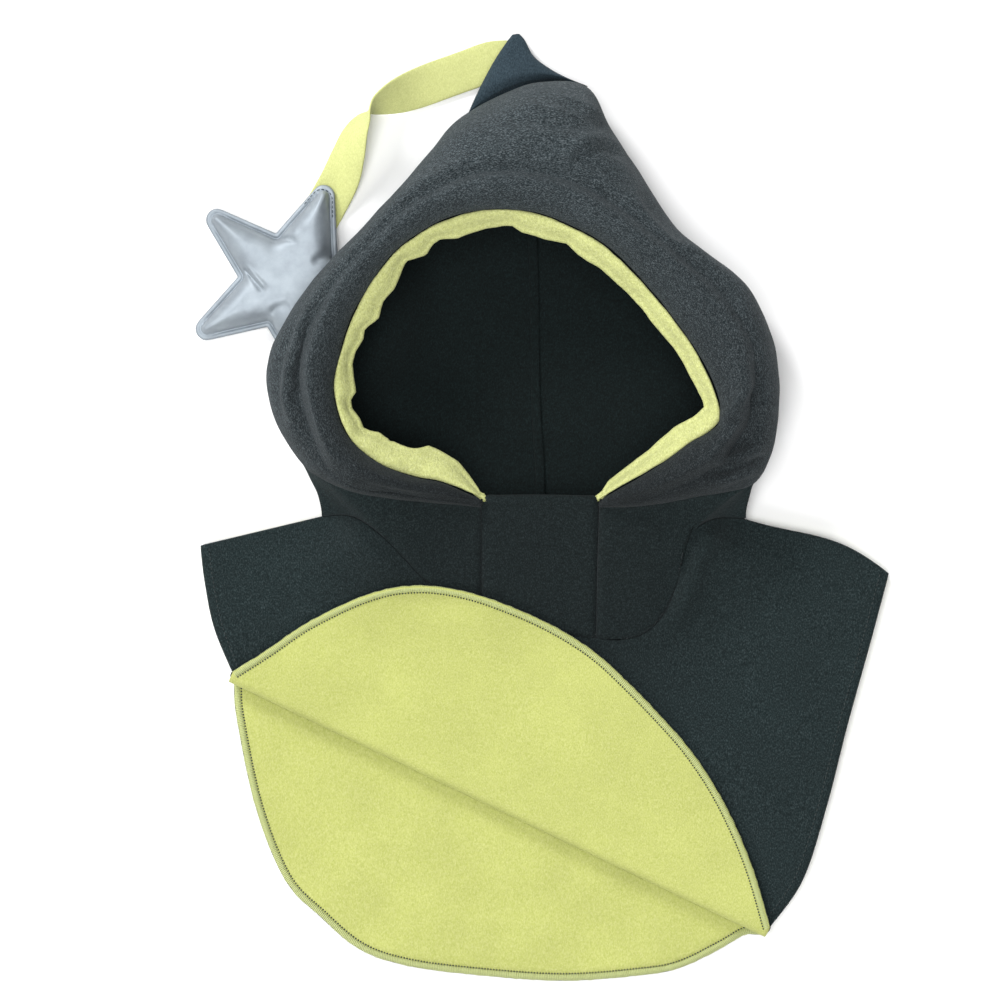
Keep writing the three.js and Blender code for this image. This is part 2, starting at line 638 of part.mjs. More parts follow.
// The dark side of the back bib, which faces the surface it lies on.
function backSurface() {
  const columns = 36;
  const inner = evenly(BACK_NECK, columns);
  const outline = [...SIDE_LEFT.slice(0, -1), ...BACK_HEM, ...[...SIDE_RIGHT].reverse().slice(1)];
  const outer = evenly(outline, columns);
  const rows = [0, 0.4, 0.74, 1].map((t) => inner.map((point, c) => {
    const [x, y] = mixPoint(point, outer[c], t);
    return [x, y + shoulderBulge(c / columns, t), 0, ...DOWN];
  }));
  return new Surface().grid(rows);
}

// Tip, ribbon and star

function tipGeometry() {
  const rings = TIP.map(({ left, right, bow, top }) => {
    const ring = [];
    const around = 16;
    for (let i = 0; i < around; i++) {
      const angle = (i / around) * 2 * Math.PI;
      const across = 0.5 - 0.5 * Math.sign(Math.cos(angle)) * Math.abs(Math.cos(angle)) ** 0.8;
      const up = 0.5 + 0.5 * Math.sign(Math.sin(angle)) * Math.abs(Math.sin(angle)) ** 0.8;
      const [x, y] = mixPoint(left, right, across);
      ring.push([x, y + 4 * bow * across * (1 - across), mix(TIP_BOTTOM, top, up)]);
    }
    return ring;
  });
  return loft(rings);
}

function ribbonGeometry() {
  const route = RIBBON.map((row) => [...row.at, row.turn]);
  const line = evenly(route, RIBBON_CORNER_STEPS);
  const rings = line.map(([x, y, turn], i) => {
    const before = line[Math.max(0, i - 1)];
    const after = line[Math.min(line.length - 1, i + 1)];
    const along = new THREE.Vector3(after[0] - before[0], after[1] - before[1], 0).normalize();
    const across = new THREE.Vector3(along.y, -along.x, 0);
    const angle = THREE.MathUtils.degToRad(turn);
    const upright = RIBBON_WIDTH * Math.abs(Math.sin(angle)) + RIBBON_CLOTH * Math.abs(Math.cos(angle));
    const z = 0.5 * upright + RIBBON_CLEARANCE;
    const wide = across.clone().multiplyScalar(Math.cos(angle)).add(new THREE.Vector3(0, 0, Math.sin(angle)));
    const thick = across.clone().multiplyScalar(-Math.sin(angle)).add(new THREE.Vector3(0, 0, Math.cos(angle)));
    const corners = [[-0.5, 0.5], [0.5, 0.5], [0.5, -0.5], [-0.5, -0.5]];
    return corners.map(([w, t]) => new THREE.Vector3(x, y, z)
      .addScaledVector(wide, w * RIBBON_WIDTH)
      .addScaledVector(thick, t * RIBBON_CLOTH)
      .toArray());
  });
  return loft(rings);
}

// The star's radius at an angle from the middle of an arm: a round end, then a straight edge that touches
// it and runs to the inner corner.
function starRadius(turn) {
  const corner = THREE.MathUtils.degToRad(36);
  const innerAlong = STAR_INNER * Math.cos(corner);
  const innerOff = STAR_INNER * Math.sin(corner);
  const span = Math.hypot(STAR_ARM - innerAlong, innerOff);
  const slope = Math.atan2(innerOff, STAR_ARM - innerAlong) - Math.asin(STAR_ARM_END / span);
  const touch = Math.atan2(STAR_ARM_END * Math.cos(slope), STAR_ARM + STAR_ARM_END * Math.sin(slope));
  if (turn < touch) {
    return STAR_ARM * Math.cos(turn) + Math.sqrt(STAR_ARM_END ** 2 - (STAR_ARM * Math.sin(turn)) ** 2);
  }
  return (innerOff * Math.cos(slope) + innerAlong * Math.sin(slope)) / Math.sin(turn + slope);
}

function starOutline() {
  const outline = [];
  const arms = 5;
  const corner = STAR_TURNS.length - 1;
  for (let arm = 0; arm < arms; arm++) {
    for (let step = 0; step < 2 * corner; step++) {
      const turn = STAR_TURNS[step <= corner ? step : 2 * corner - step];
      const fromArm = step <= corner ? turn : 360 / arms - turn;
      const angle = THREE.MathUtils.degToRad(STAR_TURN + (360 / arms) * arm + fromArm);
      outline.push({ angle, radius: starRadius(THREE.MathUtils.degToRad(turn)) });
    }
  }
  return outline;
}

// How far the arm on the ribbon is lifted by it.
const starLift = (reach, angle) => {
  const along = reach * Math.cos(angle - THREE.MathUtils.degToRad(STAR_TURN));
  return (RIBBON_CLOTH + 0.6) * smooth((along - 8) / 24);
};

function starGeometry(topOf, bottomOf) {
  const outline = starOutline();
  const shares = [0, 0.3, 0.55, 0.76, 0.9, 1];
  const surface = new Surface();
  const place = ({ angle, radius }, share, heightOf) => {
    const reach = radius * share;
    return [
      STAR_CENTRE[0] + reach * Math.cos(angle),
      STAR_CENTRE[1] + reach * Math.sin(angle),
      heightOf(share, radius) + starLift(reach, angle),
    ];
  };
  const around = [...outline, outline[0]];
  surface.grid(around.map((point) => shares.map((share) => place(point, share, topOf))));
  surface.grid(around.map((point) => shares.map((share) => place(point, share, bottomOf)).reverse()));
  surface.grid(around.map((point) => [place(point, 1, topOf), place(point, 1, bottomOf)]));
  return solid(surface.points, surface.faces.flat());
}

const SEW_HEIGHT = 3; // the two panels of the star meet here
const PANEL_RIM = 1.1;
const PANEL_GAP = 0.6;
const padding = (share, radius) => {
  const inside = Math.min(1, share / (1 - STAR_RIM / radius));
  return Math.max(0, 1 - inside ** 2) ** 0.6;
};

const starFront = () => starGeometry(
  (share, radius) => SEW_HEIGHT + PANEL_RIM + STAR_RISE * padding(share, radius),
  () => SEW_HEIGHT + PANEL_GAP / 2,
);
const starBack = () => starGeometry(
  () => SEW_HEIGHT - PANEL_GAP / 2,
  (share, radius) => (SEW_HEIGHT - PANEL_RIM) * (1 - padding(share, radius)) ** 2,
);

const CLOTH_ROUGHNESS = 0.95;
const front = frontSurface();
const back = backSurface();
const nextPly = CAPE_CLOTH + PLY_GAP;

const hood = new THREE.Group();
const shell = hoodSurface();
for (const name of new Set(shell.parts)) {
  hood.add(piece(name, ply(pieceOf(shell, name), HOOD_CLOTH), COLOURS.dark, CLOTH_ROUGHNESS));
}
hood.add(
  piece("neck_insert", ply(neckInsertSurface(), HOOD_CLOTH), COLOURS.dark, CLOTH_ROUGHNESS),
  piece("hood_tip", tipGeometry(), COLOURS.dark, CLOTH_ROUGHNESS),
  piece("face_trim", ply(trimSurface(), TRIM_CLOTH), COLOURS.lime, CLOTH_ROUGHNESS),
);
const cape = new THREE.Group();
cape.add(
  piece("cape_front_outer", ply(front, CAPE_CLOTH), COLOURS.dark, CLOTH_ROUGHNESS),
  piece("cape_front_lining", ply(front, CAPE_CLOTH, nextPly), COLOURS.lime, CLOTH_ROUGHNESS),
  piece("cape_back_outer", ply(back, CAPE_CLOTH), COLOURS.dark, CLOTH_ROUGHNESS),
  piece("cape_back_lining", ply(back, CAPE_CLOTH, nextPly), COLOURS.lime, CLOTH_ROUGHNESS),
);
const tail = new THREE.Group();
tail.add(
  piece("tail_ribbon", ribbonGeometry(), COLOURS.lime, CLOTH_ROUGHNESS),
  piece("star_front", starFront(), COLOURS.silver, 0.4, 0.5),
  piece("star_back", starBack(), COLOURS.silver, 0.4, 0.5),
);

const part = new THREE.Group();
part.add(hood, cape, tail);
export default part;
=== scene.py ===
"""A child's fleece hood with a shoulder cape and a star on a ribbon, lying on its back.

Lengths in the tables are millimetres along the frame's axes, and the meshes are made in metres.
"""

import math

import bpy
import numpy as np
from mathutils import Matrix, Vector, noise
from mathutils.bvhtree import BVHTree


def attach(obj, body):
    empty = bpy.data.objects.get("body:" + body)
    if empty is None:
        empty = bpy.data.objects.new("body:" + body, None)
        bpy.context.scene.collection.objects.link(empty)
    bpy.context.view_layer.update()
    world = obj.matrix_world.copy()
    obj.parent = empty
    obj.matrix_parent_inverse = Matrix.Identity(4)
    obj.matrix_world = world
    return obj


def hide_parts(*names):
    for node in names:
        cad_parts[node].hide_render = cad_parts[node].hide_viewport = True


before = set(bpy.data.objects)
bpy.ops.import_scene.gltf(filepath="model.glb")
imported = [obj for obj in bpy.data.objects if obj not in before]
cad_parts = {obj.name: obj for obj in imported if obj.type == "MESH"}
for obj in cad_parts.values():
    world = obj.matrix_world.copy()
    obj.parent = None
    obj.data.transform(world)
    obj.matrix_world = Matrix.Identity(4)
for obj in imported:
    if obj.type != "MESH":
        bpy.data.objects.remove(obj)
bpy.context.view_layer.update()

MM = 0.001

# Sizes of the cloth
HOOD_CLOTH = 2.2
CAPE_CLOTH = 2.0
PLY_GAP = 0.4
RING_HEIGHT = 11
FLOOR_CORNER = 13
FOLD_INSIDE = 1.4
FOLD_LIFT_REACH = 26
RIBBON_WIDTH = 22
RIBBON_CLOTH = 2.0
RIBBON_CLEARANCE = 0.1
STAR_ARM = 51
STAR_ARM_END = 6.2
STAR_RIM = 3.2
STAR_RISE = 11
STAR_CENTRE = np.array([-140.7, 124.8])
STAR_TURN = math.radians(66.5)
# The star's inner corners against the clock from the one after the arm on the ribbon: how far each is
# from the middle, and how far it is turned out of its regular place
STAR_CORNERS = [(27, 0), (27, 0), (27, 0), (28, 0), (31, -4.5)]

# Sections of the hood, from the left end of the chin over the top to its right end: the rim of the face
# opening, the outline (or the crease above the neck), the width of the lime band, the width of the
# rolled ring, and how far the cloth dips behind it.
HOOD = [
    ((-32, 5, 33), (-34, 1, 31), 1, 2.7, 1),
    ((-53, 14, 37), (-59, 3, 32), 11, 8.5, 2.7),
    ((-71, 18, 40), (-80, 5, 34), 16, 12, 3.8),
    ((-86, 23, 44), (-104, 10, 36), 14, 18, 5),
    ((-98, 31, 47), (-120, 17, 35), 12, 18.5, 8),
    ((-105, 39, 50), (-130, 24, 31), 11, 18, 11),
    ((-110, 50, 52), (-144, 44, 28), 10, 18, 13),
    ((-113, 67, 53), (-150, 67, 28), 11, 18.5, 13),
    ((-109, 85, 54), (-148, 87, 28), 9, 20.5, 11),
    ((-102.5, 103.4, 56), (-138, 105, 28), 11.6, 21.9, 8),
    ((-92.4, 121.7, 58), (-122, 127, 28), 10.6, 20.9, 4),
    ((-79.2, 138, 60), (-103, 148, 28), 10.6, 18.9, 2.5),
    ((-62, 150.3, 62), (-82, 171, 26), 10.6, 20.9, 5),
    ((-47.4, 156.3, 63), (-62, 193, 22), 10.4, 21, 6.5),
    ((-33.2, 159.8, 64), (-41, 215, 18), 9.9, 21, 7.5),
    ((-14.1, 159.6, 65), (-6, 232, 18), 10.6, 20.5, 7.5),
    ((0, 156.6, 65), (23, 230, 19), 9.6, 21.4, 7.5),
    ((12.2, 151.6, 64), (37, 207, 24), 9.6, 22.4, 7.5),
    ((25.8, 145, 63), (52, 183, 26), 11.1, 23.4, 7),
    ((39.2, 134.7, 62), (70, 154, 28), 11.1, 26.9, 6),
    ((53, 120.7, 60), (93, 136, 28), 11.6, 31.4, 5),
    ((67.7, 103.6, 58), (111, 119, 28), 13, 32, 5),
    ((81.4, 84.4, 56), (123, 94, 28), 11.4, 31.6, 8),
    ((91, 64.8, 54), (127, 67, 28), 10, 24, 13),
    ((94.6, 49.6, 52), (127, 46, 28), 10.7, 16.8, 15),
    ((88.7, 41.4, 50), (122, 27, 30), 12.8, 14.7, 14),
    ((79.5, 35.8, 48), (111, 13, 32), 12, 16.3, 10),
    ((67.7, 27.2, 45), (86, 8, 34), 12, 14.2, 6),
    ((54.1, 19, 42), (65, 3, 34), 10, 11.1, 4.6),
    ((41, 11.6, 38), (48, 1, 33), 6, 8, 2.8),
    ((29.2, 4.6, 33), (30, 1, 31), 1.4, 2.4, 0.9),
]
OUTLINE_START = 5
HOOD_SPLIT = 8
RIM_RISE = ((0, 0), (0.16, 0.4), (0.38, 0.74), (0.66, 0.96), (0.86, 1.0))
SEAM_X = -1

# Outlines of the cape, seen from above
NECK_SEAM_LEFT = [(-34, -63), (-50, -51), (-66, -37), (-87, -15), (-104, -4), (-121, -4)]
NECK_SEAM_RIGHT = [(29, -71), (50, -70), (64, -60), (73, -40), (76, -23), (82, -11), (94, -5), (111, -5)]
BACK_NECK = [(-120, -6), (-108, -9), (-54, -12), (-1, -12), (50, -12), (100, -9), (110, -6)]
SHOULDER_LEFT = [(-121, -4), (-150, -14), (-187, -20.5)]
SHOULDER_RIGHT = [(111, -5), (131, -9), (160, -18), (180, -28), (188.5, -35.5)]
SIDE_LEFT = [(-187, -20.5), (-184.5, -41), (-179.5, -65), (-170, -90)]
SIDE_RIGHT = [(188.5, -35.5), (178.5, -73), (166, -118), (154.5, -163), (141.5, -203), (122, -231)]
FOLD_START = (-172, -94.5)
FOLD_END = (121, -234)
FLAP_HEM = [
    (-149.5, -76.5), (-133, -65), (-116.5, -56), (-100, -48.5), (-83.5, -43.5), (-67, -42), (-51, -43.5),
    (-34.5, -47.5), (-18, -53.5), (-2, -60.5), (14.5, -69.5), (31, -81), (47.5, -96.5), (64, -113.5),
    (80.5, -132.5), (97, -158), (112.5, -192),
]
BACK_HEM = [
    (-170, -90), (-168, -113), (-157.5, -163), (-141.5, -203), (-122, -223.5), (-101, -241), (-78, -249.5),
    (-45, -254.5), (9, -258.5), (53, -255.5), (75, -251.5), (97, -241), (111, -233), (122, -231),
]
NECK_CORE = [(-78, 6), (70, 6)]
NECK_RISE = 22
NECK_REACH = 88
SHOULDER_DROP = 26
SHOULDER_BULGE = 6.2
SHOULDER_SKEW = 1.6
BULGE_REACH = 0.18
NECK_SAG = 1.8
SEAM_REACH = 14
STAR_LIFT = 14
STAR_LIFT_CENTRE = (-122, 108)
STAR_LIFT_REACH = 66
STAR_LIFT_SLOPE = 30
WAIST_LEFT = 2
WAIST_RIGHT = 4
WAIST_REACH = 24
CAPE_TOP = 4 * CAPE_CLOTH + 3 * PLY_GAP

# The end of the cone, a row for each section from the fold to the point: its left end, its right end,
# how far it bows out between them, and its height
TIP = [
    (-41, 217, 24.5, 231.5, 10, 12),
    (-36.5, 227, 14, 235.6, 6, 14),
    (-31, 238, 4, 241, 1.5, 13),
    (-26, 247, -5, 248, 0, 11),
    (-20, 256, -10, 257, 0, 9),
    (-17, 260, -13, 260.5, 0, 7.5),
]
TIP_BOTTOM = 3.0

# The ribbon's middle line and the turn of its cloth in degrees. Its lower edge stays on the surface.
RIBBON = [
    (-15, 246.5, 0), (-28, 246, 0), (-42, 241, 2), (-59, 234.8, 7),
    (-74.5, 228.3, 28), (-87, 222.5, 58), (-92.5, 219, 78), (-97.5, 214.5, 110),
    (-103, 205.5, 131), (-107, 193.5, 149), (-111.5, 181, 168), (-118.8, 167.3, 179),
    (-124.5, 157, 180),
]

# The uneven inner edge of the lime band, seen from above
BAND_INNER = [
    (-31, -2), (-32, 4), (-37, 16), (-46, 26), (-56, 32), (-67, 36), (-83, 37), (-86, 41), (-92, 42),
    (-97, 44), (-99, 49), (-105, 57), (-101, 63), (-102, 70), (-103, 78), (-101, 85), (-97, 91), (-96, 97),
    (-89, 102), (-86, 112), (-80, 118), (-77, 126), (-74, 133), (-63, 136), (-59, 142), (-56, 144),
    (-46, 145), (-38, 148), (-31, 150), (-18, 152), (-12, 148), (1, 144), (12, 142), (18, 136), (31, 128),
    (42, 118), (52, 108), (64, 95), (72, 84), (78, 72), (84, 61), (87, 56), (82, 51), (69.8, 43.8),
    (55, 30.8), (40, 19.5), (29.5, 11), (27, 4), (27, -2),
]

# Folds of the cloth seen from above: a line, the half width of its groove, the groove's depth, and the
# height of the lip beside it, on the left as the line runs, or on the right where it is below zero
HOOD_FOLDS = [
    ([(-22, 209), (3, 205), (34, 204)], 3.5, 2.2, 1.8),
    ([(5, 216), (20, 212), (37, 205)], 2.5, 1.8, 1.4),
    ([(10, 180), (30, 192), (46, 187)], 3.0, 2.2, 1.6),
    ([(-20, 194), (10, 190), (34, 178), (54, 166)], 4.5, 2.0, 1.3),
    ([(50, 171), (62, 158), (78, 140)], 3.0, 2.4, 2.0),
    ([(64, 142), (86, 127), (108, 107)], 4.0, 2.4, 2.0),
    ([(-70, 176), (-50, 188), (-26, 194)], 5.0, 1.6, 1.0),
    ([(86, 19), (103, 22), (124, 29)], 3.0, 3.4, 2.8),
    ([(92, 8), (104, 12), (119, 18)], 3.0, 2.6, 2.0),
    ([(-133, 98), (-141, 76), (-142, 58)], 3.0, 2.6, 1.8),
    ([(96, 40), (108, 52), (118, 70)], 3.5, 2.8, 2.2),
    ([(-128, 112), (-139, 92), (-146, 66), (-140, 42)], 3.0, 2.8, 2.2),
    ([(-118, 30), (-104, 18), (-84, 9), (-60, 5)], 3.0, 2.2, 1.4),
]
# Folds that run through the seam between the neck and the cape
NECK_FOLDS = [
    ([(-116, 2), (-100, -6), (-84, -22), (-66, -34)], 5.0, 2.0, -1.0),
    ([(54, -68), (66, -54), (74, -36), (79, -20), (90, -7), (110, -2)], 4.5, 3.4, -2.2),
]
CAPE_FOLDS = [
    ([(52, -84), (68, -80), (84, -84)], 4.0, 1.2, 0.8),
    ([(112, -14), (122, -26), (128, -44)], 7.0, 1.4, 1.0),
    ([(-118, -14), (-132, -24), (-150, -30)], 7.0, 1.2, 0.8),
]
FLAP_DIMPLE = ([(-88, -56), (-48, -58), (-8, -78)], 10, 2.4, 0.0)

# Waves of the cloth's soft unevenness: how wide and how high they are, and where their noise starts
HOOD_WAVES = [(38, 1.5, 3.1), (14, 0.5, 7.7)]
PANEL_WAVES = [(30, 1.0, 5.3)]
CAPE_WAVES = [(46, 0.9, 11.3)]
BAND_WAVES = [(7, 0.35, 2.2), (3.2, 0.12, 4.2)]
STAR_WAVES = [(14, 0.49, 2.5), (6, 0.21, 5.5)]

# The camera stands over the middle of the photograph.
CAMERA_AT = (-0.02365, 0.00495)
CAMERA_HEIGHT = 1.986
PHOTO_WIDTH_ON_FLOOR = 0.55
SENSOR = 36.0


# Numbers and curves

CURVE_STEPS = 16
UP = np.array([0.0, 0.0, 1.0])
DOWN = -UP


def mix(a, b, t):
    return a + (b - a) * t


def unit(ways):
    """A way or rows of ways, each made one long."""
    return ways / np.maximum(np.linalg.norm(ways, axis=-1, keepdims=True), 1e-9)


def direction(angle):
    return np.array([math.cos(angle), math.sin(angle)])


def oval(around, power_across=1.0, power_up=1.0):
    """Points round an oval that reaches one each way, and is squarer where its powers are smaller."""
    turns = np.array([direction(2 * math.pi * k / around) for k in range(around)])
    return np.sign(turns) * np.abs(turns) ** (power_across, power_up)


def smooth(t):
    k = np.clip(t, 0.0, 1.0)
    return k * k * (3 - 2 * k)


def curve_at(points, t):
    """The smooth curve through a list of points, at place t counted in its rows."""
    last = len(points) - 1
    row = min(last - 1, int(t))
    before, start, end, after = (points[min(last, max(0, row + step))] for step in (-1, 0, 1, 2))
    k = t - row
    slope_in = (end - before) / 2
    slope_out = (after - start) / 2
    bend = 3 * (end - start) - 2 * slope_in - slope_out
    twist = slope_in + slope_out - 2 * (end - start)
    return start + slope_in * k + bend * k**2 + twist * k**3


def lengths_along(line):
    """How far each point of a line is from its start, along it."""
    return np.concatenate([[0], np.cumsum(np.linalg.norm(np.diff(line, axis=0), axis=1))])


def at_lengths(wanted, along, rows):
    """Rows of numbers that are given at lengths along a line, at the wanted lengths."""
    return np.array([np.interp(wanted, along, axis) for axis in rows.T]).T


def evenly(points, steps):
    """Points at equal steps along the smooth curve through a list, measured in plan."""
    points = np.array(points, float)
    places = range(CURVE_STEPS * (len(points) - 1) + 1)
    fine = np.array([curve_at(points, place / CURVE_STEPS) for place in places])
    along = lengths_along(fine[:, :2])
    return at_lengths(np.linspace(0, along[-1], steps + 1), along, fine)


def distance_to_line(points, line):
    """How far each of many points (in plan) is from a line of straight stretches."""
    points = np.asarray(points, float)[..., :2]
    nearest = np.full(points.shape[:-1], np.inf)
    for a, b in zip(np.array(line[:-1], float)[:, :2], np.array(line[1:], float)[:, :2]):
        along = ((points - a) @ (b - a)) / ((b - a) @ (b - a))
        foot = a + np.clip(along, 0, 1)[..., None] * (b - a)
        nearest = np.minimum(nearest, np.linalg.norm(points - foot, axis=-1))
    return nearest


def side_of_line(points, line):
    """Distance from a line, positive on its left side, and how far along the line in shares."""
    line = evenly(line, 24)
    points = np.asarray(points, float)[:, :2]
    nearest = np.full(len(points), np.inf)
    signed = np.zeros(len(points))
    share = np.zeros(len(points))
    for i, (a, b) in enumerate(zip(line[:-1], line[1:])):
        way = b - a
        along = ((points - a) @ way) / (way @ way)
        off = points - (a + np.clip(along, 0, 1)[:, None] * way)
        away = np.linalg.norm(off, axis=1)
        closer = away < nearest
        nearest[closer] = away[closer]
        signed[closer] = (away * np.sign(way[0] * off[:, 1] - way[1] * off[:, 0]))[closer]
        share[closer] = (i + np.clip(along[closer], 0, 1)) / (len(line) - 1)
    return signed, nearest, share


def folded(points, folds):
    """How far folds move the cloth outward: a groove, and a lip beside it that fades at both ends."""
    moved = np.zeros(len(points))
    for line, width, depth, lip in folds:
        signed, away, share = side_of_line(points, line)
        fade = smooth(share / 0.25) * smooth((1 - share) / 0.25)
        beside = signed * (1 if lip > 0 else -1)
        raised = abs(lip) * np.exp(-(((beside - 1.9 * width) / (1.1 * width)) ** 2))
        moved += fade * (raised - depth * np.exp(-((away / width) ** 2)))
    return moved


def wander(points, waves):
    """A soft uneven height over many points, from the waves' smooth noise."""
    heights = np.zeros(len(points))
    for scale, amount, start in waves:
        heights += [amount * noise.noise(Vector(p) / scale + Vector((start,) * 3)) for p in points]
    return heights


# Meshes

class Sheet:
    """A surface of joined grids. Points in the same place are one vertex."""

    def __init__(self):
        self.points = []
        self.given = []
        self.faces = []
        self.places = {}

    def vertex(self, point):
        key = tuple(round(value * 500) for value in point[:3])
        if key not in self.places:
            self.places[key] = len(self.points)
            self.points.append(point[:3])
            self.given.append(point[3:6] if len(point) > 3 else None)
        return self.places[key]

    def grid(self, rows):
        ids = [[self.vertex(point) for point in row] for row in rows]
        for low, high in zip(ids[:-1], ids[1:]):
            for a, b, c, d in zip(low[:-1], low[1:], high[1:], high[:-1]):
                face = [v for i, v in enumerate((a, b, c, d)) if v != (a, b, c, d)[i - 1]]
                if len(set(face)) > 2:
                    self.faces.append(face)
        return self

    def normals(self):
        points = np.array(self.points, float)
        sums = np.zeros_like(points)
        for face in self.faces:
            corners = points[face]
            sums[face] += np.cross(corners[2] - corners[0], corners[-1] - corners[1])
        sums = unit(sums)
        for i, given in enumerate(self.given):
            if given is not None:
                sums[i] = given
        return sums


def put_in_scene(name, data):
    obj = bpy.data.objects.new(name, data)
    bpy.context.scene.collection.objects.link(obj)
    return obj


def make_object(name, points, faces, material, inner_material=None, inner_faces=()):
    mesh = bpy.data.meshes.new(name)
    mesh.from_pydata((np.asarray(points) * MM).tolist(), [], [list(face) for face in faces])
    mesh.materials.append(material)
    if inner_material is not None:
        mesh.materials.append(inner_material)
        for index in inner_faces:
            mesh.polygons[index].material_index = 1
    mesh.shade_smooth()
    return put_in_scene(name, mesh)


def cloth(name, sheet, material, thickness, depth=0.0, relief=None, edge=0.45, inside=None):
    """A layer of cloth below a sheet, with rounded edges. relief moves it along the sheet's normals."""
    normals = sheet.normals()
    points = np.array(sheet.points, float)
    if relief is not None:
        points = points + normals * relief(points, normals)[:, None]
    count = len(points)
    outer = points - normals * depth
    inner = outer - normals * thickness
    faces = [list(face) for face in sheet.faces]
    faces += [[v + count for v in reversed(face)] for face in sheet.faces]
    directed = dict.fromkeys(pair for face in sheet.faces for pair in zip(face, face[1:] + face[:1]))
    border = [(a, b) for a, b in directed if (b, a) not in directed]
    out = {}
    for a, b in border:
        way = unit(np.cross(points[b] - points[a], normals[a]))
        for v in (a, b):
            out[v] = out.get(v, 0) + way
    middle = {v: 2 * count + i for i, v in enumerate(out)}
    rounding = [(outer[v] + inner[v]) / 2 + unit(way) * thickness * edge for v, way in out.items()]
    for a, b in border:
        faces.append([b, a, middle[a], middle[b]])
        faces.append([middle[b], middle[a], a + count, b + count])
    points = np.vstack([outer, inner, rounding])
    inner_faces = range(len(sheet.faces), 2 * len(sheet.faces))
    return make_object(name, points, faces, material, inside, inner_faces)


def loft(name, tubes, material):
    """Solids, each through rings of equally many points and filled at both ends, joined as one piece."""
    points, faces = [], []
    for rings in tubes:
        around = len(rings[0])
        first = len(points)
        last = first + (len(rings) - 1) * around
        for low in range(first, last, around):
            for i in range(around):
                j = (i + 1) % around
                faces.append([low + i, low + j, low + around + j, low + around + i])
        faces.append([first + i for i in range(around)][::-1])
        faces.append([last + i for i in range(around)])
        for ring in rings:
            points += ring
    return make_object(name, points, faces, material)


def tube_along(line, width, height, around=8, power=1.0):
    """Rings of an oval tube along a line, flat side up."""
    line = np.asarray(line, float)
    sizes = 0.5 * np.column_stack([np.broadcast_to(size, len(line)) for size in (width, height)])
    profile = oval(around, power, power)
    rings = []
    for i, (point, (wide, high)) in enumerate(zip(line, sizes)):
        way = unit(line[min(i + 1, len(line) - 1)] - line[max(i - 1, 0)])
        across = unit(np.cross(way, UP))
        rings.append([point + across * (wide * c) + UP * (high * s) for c, s in profile])
    return rings


# A stitch from end to end: shares of its length, lifts over the seam line, and shares of its thickness
STITCH_PLACES = np.array([0, 0.2, 0.8, 1])
STITCH_LIFTS = np.array([-0.25, 0.12, 0.12, -0.25])
STITCH_SWELL = np.array([0.25, 1, 1, 0.25])


def stitches(name, line, material, length, spacing, width, height):
    """Short threads lying on a seam line, joined as one piece."""
    along = lengths_along(line)
    threads = []
    for place in np.arange(0.5 * spacing, along[-1] - length, spacing):
        thread = at_lengths(place + length * STITCH_PLACES, along, line) + STITCH_LIFTS[:, None] * UP
        threads.append(tube_along(thread, STITCH_SWELL * width, STITCH_SWELL * height, around=6))
    return loft(name, threads, material)


# Materials

FIBRES = 1700
NAP = 620
OPENING_MIDDLE = (-0.006, 0.06, 0.05)
NAP_RADIUS = 0.13
# Middle of the painted shade round the neck
NECK_MIDDLE = (-0.004, -0.024, 0.025)


